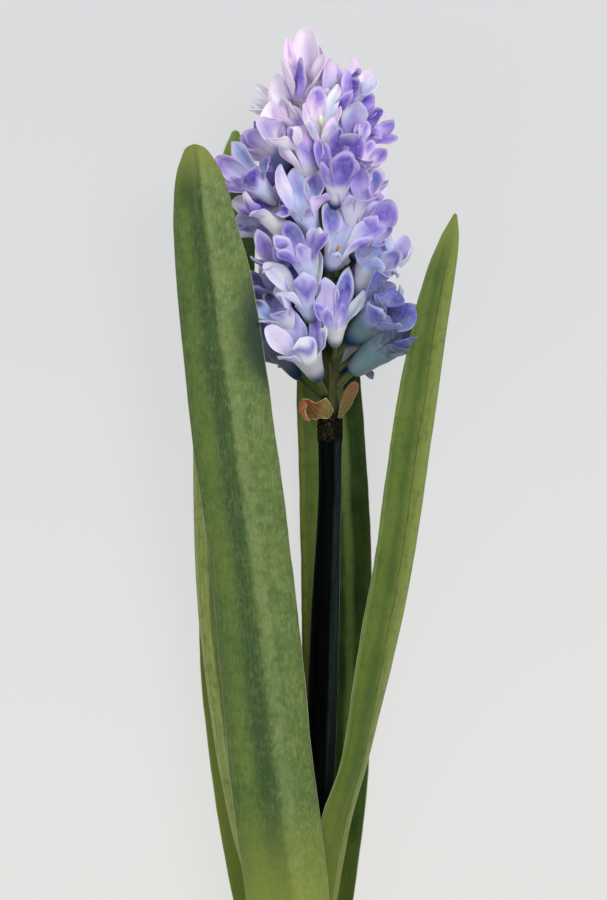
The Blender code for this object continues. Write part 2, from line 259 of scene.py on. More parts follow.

# left and right are the tones of a leaf's two halves, on most leaves one painted darker as shade and the
# other lighter as lit, and bloom the strength of its pale dust. The keel's ridge and groove are heights, and
# its fold is how far they lie aside. A foot is a tone, its reach and its share. A band is its middle across
# the leaf, from -1 to 1, half its width, its tone and its share. Some bands are painted shade and highlight
# along the keel's fold and over a lit half. A patch is its middle across and along, half its width, its
# reach, its tone and its share; one is a painted shadow of the spike.
# Each row is one arc across the leaf: height y, the keel's x and z, the azimuth that the keel faces,
# the width along the arc and the angle it turns through
leaves = {
    "front_left_leaf": {
        "slot": "leaf_green", "seed": 11, "ridge": 0.5, "groove": 0.45, "fold": 1.3, "bloom": 0.65,
        "left": (72, 98, 40), "right": (80, 102, 50),
        "tip": (128, 138, 66), "foot": ((144, 154, 64), 84, 0.7),
        # the first patch is a darker patch near the tip; the second is a painted shadow of the spike along
        # the right margin
        "darkPatchesAndShadow": [(-0.45, 283, 0.42, 12, (34, 64, 28), 0.7), (1.0, 231, 0.72, 27, (24, 50, 34), 0.95)],
        # the first band is painted shade beside the keel's fold, the second a painted dark line in the fold,
        # the third a painted highlight on the ridge
        "bands": [
            (-0.15, 0.3, (38, 68, 32), 0.85), (0.03, 0.04, (44, 70, 30), 0.3),
            (0.26, 0.2, (126, 144, 92), 0.35), (-0.6, 0.25, (90, 114, 40), 0.4),
            (0.6, 0.3, (96, 120, 54), 0.3),
        ],
        "rows": [
            (-168, -6.9, 26.8, -8, 31, 130), (-128, -9.0, 35.2, 4, 34.6, 112),
            (-103, -12.4, 38.8, 1, 34, 100), (-77, -15.8, 41.5, -2, 33, 92),
            (-26, -21.3, 44.5, -10, 31.8, 80), (34, -29.4, 47.5, -14, 32.4, 76),
            (67, -33.8, 48.5, -18, 31.4, 74), (88, -36.4, 48.5, -18, 28.6, 72),
            (102, -38.3, 48.0, -16, 24.5, 70), (112, -39.3, 47.5, -14, 21.0, 68),
            (118.5, -39.8, 47.0, -12, 17.2, 64), (122.3, -40.1, 46.8, -11, 13.2, 60),
            (125, -40.4, 46.6, -10, 10.0, 60), (126.6, -40.7, 46.4, -10, 7.4, 60),
            (127.4, -40.8, 46.3, -10, 4.2, 60),
        ],
    },
    "front_right_leaf": {
        "slot": "leaf_green", "seed": 12, "ridge": 0.2, "groove": 0.35, "fold": 0.0, "bloom": 0.18,
        "left": (74, 96, 32), "right": (118, 134, 58),
        "tip": (124, 136, 60), "foot": ((118, 128, 46), 90, 0.6),
        # the last band, lighter over the right half, is painted light
        "bands": [
            (-0.93, 0.1, (112, 128, 60), 0.5), (-0.64, 0.16, (96, 108, 30), 0.4),
            (-0.3, 0.2, (62, 84, 28), 0.4), (0.02, 0.05, (56, 58, 18), 0.7), (0.13, 0.025, (82, 74, 32), 0.6),
            (0.24, 0.02, (84, 86, 36), 0.45), (0.6, 0.35, (132, 146, 72), 0.45),
        ],
        "rows": [
            (-168, 0.6, 18.6, 50, 27, 185), (-128, 5.9, 21.9, 50, 22, 132), (-103, 10.2, 25.6, 53, 20.5, 104),
            (-81, 16.2, 30.0, 55, 19, 84), (-45, 22.9, 36.0, 42, 19.5, 82), (-17, 28, 38.5, 37, 19.5, 80),
            (36, 35.6, 40.5, 36, 19.5, 78), (68, 40.6, 40.5, 36, 17.0, 76), (85, 43.9, 40.0, 36, 14.0, 74),
            (97, 46.4, 39.6, 36, 9.0, 70), (104.5, 47.6, 39.2, 36, 2.2, 60),
        ],
    },
    "back_centre_leaf": {
        "slot": "leaf_green", "seed": 13, "ridge": 0.0, "groove": 0.2, "fold": 0.0, "bloom": 0.1,
        "left": (26, 62, 18), "right": (100, 124, 44),
        "tip": (80, 100, 46), "foot": ((112, 128, 56), 70, 0.6),
        "bands": [
            (0.9, 0.12, (146, 154, 58), 0.6), (-0.36, 0.2, (122, 148, 74), 0.85),
            (-0.92, 0.14, (62, 92, 42), 0.6), (0.4, 0.2, (84, 110, 44), 0.4),
        ],
        "rows": [
            (-168, -2.2, 3.0, 165, 27, 146), (-128, 3.7, 1.6, 172, 26.6, 110), (-86, 6.9, 0.4, 178, 27, 84),
            (-45, 7.8, 0.0, 180, 27, 72), (-13, 7.3, 0.0, 180, 27, 68), (25, 6.0, 0.0, 180, 25.6, 64),
            (50, 4.6, 0.0, 180, 24, 60), (80, 4.0, 0.0, 180, 21, 56), (100, 3.6, 0.2, 180, 16, 52),
            (114, 3.2, 0.5, 180, 9, 48), (121, 3.0, 0.8, 180, 3, 48),
        ],
    },
    "back_left_leaf": {
        # this leaf's dark tones are painted shade where it lies under the front left leaf and the spike, and
        # its long pale foot is painted light where it shows below them
        "slot": "dark_leaf_green", "seed": 14, "ridge": 0.0, "groove": 0.2, "fold": 0.0, "bloom": 0.12,
        "left": (52, 84, 34), "right": (66, 94, 40),
        "tip": (156, 192, 86), "foot": ((164, 186, 88), 190, 0.95),
        "bands": [(0.0, 0.2, (40, 66, 30), 0.4)],
        "rows": [
            (-168, -14.2, 3.0, 218, 23, 98), (-128, -22.4, 2.6, 208, 22, 84),
            (-94, -27.4, 1.5, 202, 21.5, 74), (-47, -31.7, 0.8, 196, 21, 66), (8, -32.2, 0.5, 192, 21, 62),
            (60, -31, 0.2, 188, 20, 60), (98, -29.2, 0.3, 186, 17.5, 58), (120, -28.2, 0.6, 184, 13, 54),
            (130, -28, 1.0, 184, 8, 50), (136, -27.8, 1.4, 184, 3, 50),
        ],
    },
    "left_leaf": {
        "slot": "leaf_green", "seed": 15, "ridge": 0.3, "groove": 0.2, "fold": 0.0, "bloom": 0.25,
        "left": (150, 166, 86), "right": (120, 136, 64),
        "tip": (124, 140, 72), "foot": ((140, 146, 66), 90, 0.5),
        "bands": [
            (-0.5, 0.08, (112, 104, 60), 0.5), (0.1, 0.1, (88, 84, 44), 0.4),
            (-0.85, 0.12, (140, 150, 92), 0.5),
        ],
        "rows": [
            (-168, -15.5, 18.2, -65, 18.5, 98), (-128, -20.6, 21.0, -52, 18, 86),
            (-108, -25.2, 22.8, -46, 17.5, 78), (-66, -32, 26.5, -40, 17, 72),
            (-22, -36.4, 29.0, -38, 17, 70), (28, -37.8, 30.0, -36, 15, 66), (56, -38, 30.0, -34, 10, 62),
            (72, -37.8, 30.0, -32, 3, 60),
        ],
    },
}


def makeLeafMaterial(name, leaf):
    # across runs from -1 to 1 over the leaf, along is in millimetres from its cut end
    look = Finish(name.replace("leaf", "green"), Subsurface_Weight=0.06, Subsurface_Scale=0.002,
                  Specular_IOR_Level=0.2)
    tones, dusty = leafShape["tones"], leaf["bloom"]
    across, along = look.read("across"), look.read("along")
    wide, fine = (
        look.vector(look.times(across, leafShape[kind][0]), look.times(along, leafShape[kind][1]), layer)
        for kind, layer in (("streaks", float(leaf["seed"])), ("fibres", 3.0)))
    streaks, fibres = look.noise(wide, 1.6, 4, 0.6), look.noise(fine, 1.0, 3, 0.65)
    mottle = look.noise(look.place, leafShape["mottle"], 4, 0.6, 0.4)
    cloud = look.noise(look.place, leafShape["cloud"], 2, 0.5)
    bloom = look.noise(look.stretched((1, 0.28, 1), -0.45), leafShape["bloom"], 4, 0.7, 0.8)

    # side splits the leaf at the keel: the two halves' tones hold painted shade and painted light, and the
    # bloom and pale mottle below are stronger where across is over 0
    side = look.span(across, -0.12, 0.16)
    look.colour = look.mix(side, leaf["left"], leaf["right"])
    look.lay(tones["streak"], streaks, 0.35, 0.7, 0.45)
    look.lay(tones["cloud"], cloud, 0.35, 0.7, 0.3)
    # lengthwise bands, each with a soft, slightly wandering border
    wander = look.span(look.noise(look.place, 40.0, 3), 0.2, 0.8, -0.05, 0.05)
    wander = look.number("ADD", across, wander)
    for middle, halfWidth, tone, amount in leaf["bands"]:
        look.lay(tone, look.away(wander, middle), halfWidth, halfWidth * 0.15, amount)
    # the bloom: fine oblique pale fibres in drifts, with darker green between them
    drift = look.span(look.noise(look.place, 110.0, 3, 0.6), 0.3, 0.75, 0.35, 1.0)
    dust = look.times(look.span(bloom, 0.42, 0.7), drift)
    look.over(tones["bloom"], look.times(dust, look.span(side, 0.0, 1.0, 0.55 * dusty, dusty)))
    look.lay(tones["mottle"], mottle, 0.5, 0.7, 0.4)
    pale = look.times(look.span(mottle, 0.5, 0.36), look.span(side, 0.0, 1.0, 0.1 * dusty, 0.22 * dusty))
    look.over(tones["pale"], pale)
    look.lay(tones["fibre"], fibres, 0.52, 0.75, 0.22)
    # dark patches, one of them a painted shadow of the spike
    for middle, height, halfWidth, reach, tone, amount in leaf.get("darkPatchesAndShadow", []):
        aside = look.number("DIVIDE", look.number("SUBTRACT", wander, middle), halfWidth)
        off = look.vector(aside, look.number("DIVIDE", look.number("SUBTRACT", along, height), reach), 0.0)
        off = look.add("VectorMath", {0: off}, operation="LENGTH").outputs["Value"]
        look.lay(tone, off, 1.0, 0.3, amount)
    # pale margins with a dark line inside, a yellower foot, and the tip
    distance = look.number("ABSOLUTE", across)
    look.lay(tones["line"], look.away(distance, 0.965), 0.02, 0.0, 0.4)
    look.lay(tones["margin"], distance, 0.975, 1.0, 0.75)
    footTone, reach, amount = leaf["foot"]
    look.lay(footTone, along, reach, 0.2 * reach, amount)
    length = leaf["rows"][-1][0] - leaf["rows"][0][0]
    look.lay(leaf["tip"], along, length - 20.0, length, 0.7)
    height = look.number("ADD", look.times(fibres, 0.6), look.times(bloom, 0.5))
    return look.done(height, 0.5, 0.4, look.span(streaks, 0.3, 0.7, 0.42, 0.6))


def makeLeaf(name, leaf):
    # a closed strip: point = keel + radius (sin a - sin a0, cos a - cos a0) on its outer face, with
    # a = a0 + across * turn / 2, and the same less the thickness on its inner face
    rows, columns, seed = leafShape["rows"], leafShape["columns"], leaf["seed"]
    low, high = leaf["rows"][0][0], leaf["rows"][-1][0]
    heights = low + (high - low) * (1 - (1 - np.linspace(0, 1, rows)) ** 1.5)    # closer towards the tip
    x, z, azimuth, width, turn = (column[:, None] for column in smoothBetween(leaf["rows"], heights).T)
    y, along = heights[:, None], heights[:, None] - low
    crowding = math.pi / 2 * leafShape["edgeCrowding"]
    across = np.sin(np.linspace(-1, 1, columns) * crowding) / math.sin(crowding)
    ring = np.concatenate([across, across[::-1]])[None, :]
    inner = np.repeat([0, 1], columns)[None, :]
    keel, radius = np.radians(azimuth), width / np.radians(turn)
    cut = 0.5 + 0.5 * ripple(along + 40 * np.sign(ring), seed, 7, 60.0)
    waver = 1 - leafShape["marginWaver"] * cut / (width / 2 + 0.5) * np.abs(ring) ** 6
    angle = keel + ring * (np.radians(turn) / 2) * waver
    normalX, normalZ = np.sin(angle), np.cos(angle)
    # how far the face stands in from the arc: thickness, veins, a soft unevenness, and the keel's ridge
    distance, edge = np.abs(ring), leafShape["edgeThickness"]
    thickness = edge + (leafShape["thickness"] - edge) * (1 - distance**2.2)
    thickness = thickness * np.minimum(1, width / 6)
    veins = 0.5 - 0.5 * np.cos(ring * math.pi * leafShape["veins"])
    veins = veins * leafShape["veinDepth"] * (1 - distance**4)
    uneven = 1 + ripple(along * 0.8 + 25 * ring, seed + 50, 5, 55.0)
    uneven = leafShape["uneven"] * uneven * (1 - 0.5 * distance)
    fromFold = ring * width / 2 - leaf["fold"]
    ridge = leaf["ridge"] * hump(fromFold, 1.1) * ease(6.0, 14.0, width)
    groove = leaf["groove"] * (hump(fromFold + 1.9, 1.3) + 0.2 * hump(fromFold - 1.9, 0.8))
    rim = (1 - np.sqrt(np.clip(1 - distance**14, 0, 1))) * thickness / 2
    inset = np.where(inner > 0, thickness - rim - 0.6 * veins, veins + uneven + groove - ridge + rim)
    points = closeEnds(np.stack([
        x + radius * (normalX - np.sin(keel)) - normalX * inset,
        np.broadcast_to(y, angle.shape),
        z + radius * (normalZ - np.cos(keel)) - normalZ * inset,
    ], axis=2), (0, leafShape["tipOut"], 0))
    shape = points.shape[:2]
    numbers = {"across": np.broadcast_to(ring, shape),
               "along": np.broadcast_to(np.concatenate([along[:1], along, along[-1:]]), shape)}
    faces = gridFaces(rows + 2, 2 * columns, closed=True)
    piece = buildPiece(name + "_blade", points, faces, makeLeafMaterial(name, leaf), numbers)
    hand(piece, leaf["slot"], name)


for name, leaf in leaves.items():
    makeLeaf(name, leaf)
print("leaves made:", len(leaves))


# the flower stem

stemShape = {
    "rows": 380,
    "columns": 96,
    "ribs": 15,              # lengthwise ridges
    "ribDepth": 0.16,
    "bandHeight": (28.0, 36.0),   # the rough ring where the old florets were
    "path": [                # height y, then x, z and radius
        (-168, -4.6, 13.6, 5.0), (-150, -3.2, 14.6, 5.0), (-128, -1.0, 16.4, 5.1), (-104, 0.6, 19.2, 5.2),
        (-80, 1.8, 22.0, 5.2), (-54, 2.7, 24.8, 5.1), (-26, 3.6, 27.2, 4.7), (0, 4.6, 29.4, 4.0),
        (14, 5.1, 30.5, 3.9), (34, 5.1, 32.2, 4.1), (39, 5.1, 32.5, 3.1), (46, 4.9, 33.0, 2.6),
        (76, 4.4, 34.0, 2.6), (108, 2.4, 34.0, 2.4), (132, 0.2, 34.0, 1.8), (138, -0.5, 34.0, 1.4),
        (140.5, -0.8, 34.0, 0.8), (141.5, -0.9, 34.0, 0.15),
    ],
    "fibres": 900.0,         # the scales of three patterns, for each metre
    "broad": 300.0,
    "dots": 1300.0,
    "tones": {               # pairs are the dark and the light of one stretch
        # the sheen and rim tones are painted light: a grey sheen down one side and a pale highlight along
        # that side's edge
        "stalk": ((0, 1, 1), (4, 9, 5)), "fibre": (24, 28, 14), "paintedSheen": (34, 44, 44), "rim": (110, 116, 112),
        "upper": ((38, 44, 24), (82, 84, 54)), "top": (116, 124, 84), "band": ((7, 8, 5), (58, 52, 34)),
    },
}


def stemAt(height):
    # the stem's centre and radius at a height, in straight lines between the rows of its path
    heights, *columns = np.array(stemShape["path"], float).T
    x, z, radius = (float(np.interp(height, heights, column)) for column in columns)
    return np.array([x, height, z]), radius


def makeStemMaterial():
    # nearly black green with olive fibres, a painted grey sheen down one side and a painted pale highlight
    # along that side's edge; brown dots in the rough band; olive brown above it. Heights here are in metres
    look = Finish("stem_dark_green", Specular_IOR_Level=0.03)
    tones = stemShape["tones"]
    height = look.add("SeparateXYZ", {0: look.place}).outputs[1]
    stretched = look.stretched((1, 0.04, 1))
    fibres = look.noise(stretched, stemShape["fibres"], 4, 0.65)
    broad = look.noise(stretched, stemShape["broad"], 3, 0.6)
    dots = look.noise(look.place, stemShape["dots"], 3, 0.7)
    side = look.read("side")
    look.colour = look.mix(look.span(broad, 0.4, 0.65), *tones["stalk"])
    look.lay(tones["fibre"], fibres, 0.58, 0.74, 0.4)
    # a painted sheen down one side, over the fibres
    paintedSheen = look.times(look.span(side, 0.25, 0.5), look.span(side, 0.95, 0.8))
    look.over(tones["paintedSheen"], look.times(paintedSheen, look.span(fibres, 0.35, 0.65, 0.3, 0.9)))
    upper = look.mix(look.span(fibres, 0.4, 0.7), *tones["upper"])
    upper = look.mix(look.span(height, 0.07, 0.13), upper, tones["top"])
    look.lay(upper, height, 0.0355, 0.040)
    band = look.times(look.span(height, 0.0270, 0.0290), look.span(height, 0.0375, 0.0350))
    spots = look.times(look.span(dots, 0.46, 0.66), look.span(side, 0.5, 0.1, 0.25, 1.0))
    look.over(look.mix(spots, *tones["band"]), band)
    # a painted pale highlight along the edge of the lit side
    look.lay(tones["rim"], side, 0.955, 0.985, 0.6)
    return look.done(fibres, 0.4, 0.3, look.span(fibres, 0.3, 0.7, 0.5, 0.72))


def makeStem():
    # rings along the path: radius + depth * ribs + lumps in the rough band, with ribs = cos(n * angle +
    # wander); both ends are shut
    heights = np.linspace(stemShape["path"][0][0], stemShape["path"][-1][0], stemShape["rows"])
    x, z, radius = (column[:, None] for column in smoothBetween(stemShape["path"], heights).T)
    angle = np.linspace(0, 2 * math.pi, stemShape["columns"], endpoint=False)[None, :]
    y = heights[:, None]
    wander = 0.5 * ripple(y, 3, 4, 160.0)
    ribs = np.cos(stemShape["ribs"] * angle + 3 * wander) + 0.6 * np.cos(7 * angle + 2 + 5 * wander)
    depth = stemShape["ribDepth"] * (0.6 + 0.4 * ripple(y + 9 * np.cos(angle), 5, 4, 70.0))
    low, high = stemShape["bandHeight"]
    band = ease(low - 0.8, low + 0.3, y) * ease(high + 0.8, high - 0.3, y)
    lumps = ripple(y + 3.1 * np.sin(3 * angle), 8, 5, 2.4) * ripple(angle, 9, 5, 0.9)
    out = radius + depth * ribs * 0.5 + band * (0.30 + 0.28 * lumps)
    rings = [x + out * np.sin(angle), np.broadcast_to(y, out.shape), z + out * np.cos(angle)]
    points = closeEnds(np.stack(rings, axis=2))
    faces = gridFaces(stemShape["rows"] + 2, stemShape["columns"], closed=True)
    side = np.broadcast_to(np.sin(angle), points.shape[:2])
    piece = buildPiece("flower_stem_stalk", points, faces, makeStemMaterial(), {"side": side})
    hand(piece, "stem_green", "flower_stem")


makeStem()
print("stem made")


# the papery bracts below the lowest florets

bracts = {
    # share of the way along the sheet, then a point of its outer edge and one of its inner edge
    "left_bract": {
        "edges": [
            (0, -3.5, 34.9, 37.3, -2.0, 34.6, 37.7), (0.1, -4.8, 37.0, 37, -2.9, 36.5, 38),
            (0.2, -5.6, 39.1, 36.7, -3.4, 38.4, 38.3), (0.3, -5.2, 41.0, 37.1, -3.0, 39.7, 38.1),
            (0.4, -3.8, 42.2, 37.7, -2.3, 39.9, 37.3), (0.5, -1.9, 41.7, 38.3, -2.0, 38.3, 37),
            (0.6, 0.1, 40.9, 38.8, -1.6, 36.2, 36.5), (0.7, 1.9, 41.4, 39.5, -0.2, 35.1, 37.3),
            (0.8, 3.5, 42.3, 40.1, 2.0, 35.5, 38.2), (0.9, 5.1, 40.4, 39.2, 4.1, 35.5, 38.3),
            (1, 6, 37.9, 38.6, 5.5, 36.7, 38.4),
        ],
        "bulge": 0.7, "seed": 21, "rim": 0.7,
        "tones": [(0, (176, 114, 80)), (0.35, (154, 98, 66)), (0.48, (118, 66, 36)), (0.66, (112, 74, 38)),
                  (0.8, (118, 104, 56)), (1, (108, 106, 58))],
    },
    "right_bract": {
        "edges": [
            (0, 7.6, 35.8, 37.3, 8.2, 35.5, 36.9), (0.167, 8, 38, 37.8, 9.6, 36.7, 36.7),
            (0.333, 8.8, 41.1, 38.5, 11.3, 38.6, 37.3), (0.5, 9.5, 43.6, 39.4, 12.7, 41.1, 38.4),
            (0.667, 10.7, 45.9, 40.4, 13.9, 43.8, 39.8), (0.833, 12.2, 47.5, 41, 14.6, 46, 40.7),
            (1, 13.4, 48.1, 40.7, 14.4, 47.3, 40.7),
        ],
        "bulge": -0.9, "seed": 22, "rim": 0.2,
        "tones": [(0, (96, 104, 52)), (0.3, (106, 100, 56)), (0.55, (124, 92, 60)), (0.85, (126, 94, 66)),
                  (1, (148, 110, 84))],
    },
    "rows": 110,
    "columns": 25,
    "thickness": 0.4,
    "waver": 0.22,           # lumps of the dry surface
    "torn": 0.03,            # how far the rims are torn, as a share of the width
    "blotch": (84, 60, 28),
    "vein": (74, 44, 24),
    "rimTone": (216, 172, 144),
}


def makeBractMaterial(name, bract):
    # paper whose tones change from one end to the other, with darker veins and pale torn rims
    look = Finish(name + "_brown", Roughness=0.65, Subsurface_Weight=0.1, Subsurface_Scale=0.001,
                  Specular_IOR_Level=0.12)
    across, along = look.read("across"), look.read("along")
    veins = look.noise(look.vector(look.times(across, 1.5), look.times(along, 26.0), 0.0), 1.0, 4, 0.6)
    blotch = look.noise(look.place, 420.0, 4, 0.6)
    look.colour = bract["tones"][0][1]
    for (start, _), (end, tone) in zip(bract["tones"], bract["tones"][1:]):
        look.lay(tone, along, start, end)
    look.lay(bracts["blotch"], blotch, 0.4, 0.7, 0.3)
    look.lay(bracts["vein"], veins, 0.5, 0.7, 0.35)
    look.lay(bracts["rimTone"], look.number("ABSOLUTE", across), 0.86, 1.0, bract["rim"])
    return look.done(veins, 0.5, 0.4)


def makeBract(name):
    # a dry sheet between two edges: point = inner + (outer - inner) * across, raised by bulge in its
    # middle, with a wavering surface and torn rims
    bract, rows, columns = bracts[name], bracts["rows"], bracts["columns"]
    across, along = np.meshgrid(np.linspace(-1, 1, columns), np.linspace(0, 1, rows))
    edges = smoothBetween(bract["edges"], along[:, 0])
    outer, inner = edges[:, None, :3], edges[:, None, 3:]
    torn = bracts["torn"] * ripple(along * 3, bract["seed"], 4, 0.9) * across**4
    points = inner + (outer - inner) * ((across + 1) / 2 + torn)[..., None]
    width = np.linalg.norm(outer - inner, axis=2)
    lumps = bracts["waver"] * ripple(across * 2 + along * 7, bract["seed"] + 3, 5, 1.0)
    points[..., 2] += bract["bulge"] * hump(across, 0.7) * (width / 5).clip(0, 1) + lumps
    piece = buildPiece(name + "_paper", points, gridFaces(rows, columns), makeBractMaterial(name, bract),
                       {"across": across, "along": along})
    thicken(piece, bracts["thickness"], 0)
    hand(piece, "bract_brown", name)


for name in ("left_bract", "right_bract"):
    makeBract(name)
print("bracts made")


# the florets

# ash, dusk and night are painted shade on florets and tubes that lie behind others or in the gaps; navy is
# the deep blue of the tube feet, darkened with painted shade in the gaps by the stem; slate, teal and grey
# are the bluer colour of some lobes, deepened with painted shade
petalTones = {
    "white": (250, 247, 253), "pearl": (240, 233, 251), "rose": (246, 226, 248), "pink": (234, 204, 242),
    "ice": (222, 229, 252), "mist": (204, 210, 242), "mauve": (206, 196, 243), "lilac": (176, 154, 228),
    "plum": (144, 124, 212), "deep": (98, 80, 180), "blue": (110, 118, 192), "sky": (182, 198, 242),
    "grey": (140, 146, 194), "slate": (96, 116, 144), "teal": (96, 122, 128), "night": (56, 68, 120),
    "navy": (0, 46, 84), "cream": (234, 232, 232), "ash": (182, 182, 190), "orchid": (226, 202, 232),
    "dusk": (114, 118, 136), "lime": (204, 214, 182), "stalk": (70, 76, 32),
}
floretShape = {
    "tube": [                # share of the way from base to mouth, radius
        (0.0, 0.9), (0.05, 1.6), (0.15, 2.2), (0.35, 2.75), (0.6, 3.2), (0.8, 3.6), (1.0, 4.2),
    ],
    "stalkRadius": 0.9,
    "lobeHalfWidth": 4.15,
    "flare": 10.0,           # degrees from the axis where the lobes part
    "firstReach": 0.42,      # shares of a lobe's length where its curve turns out and turns to its tip
    "lastReach": 0.3,
    "cupRadius": 6.4,
    "turnUp": 1.2,           # how far each lobe turns its broad face outwards and up
    "twist": 0.2,
    "broadest": 0.38,        # share of a lobe's length from where it narrows
    "pointed": (0.68, 0.16),     # how pointed the tips are, and how much that varies
    "waver": 0.1,            # of the outline
    "ruffle": 0.75,          # of the margins
    "crease": 0.42,          # depth of the furrow along the middle
    "overlap": 0.12,         # every other lobe lies this far over its neighbours
    "usualLobe": [0, 1, 0.2],    # aside, width and curl of a lobe whose row stops before them
    "thickness": 0.22,
    "stalkRows": 9,
    "tubeRows": 16,
    "lobeRows": 24,
    "lobeColumns": 13,
    "veinTone": (190, 180, 226),
    "paleVein": (236, 228, 246),
    "paintedSheenSpots": (240, 236, 250),
}

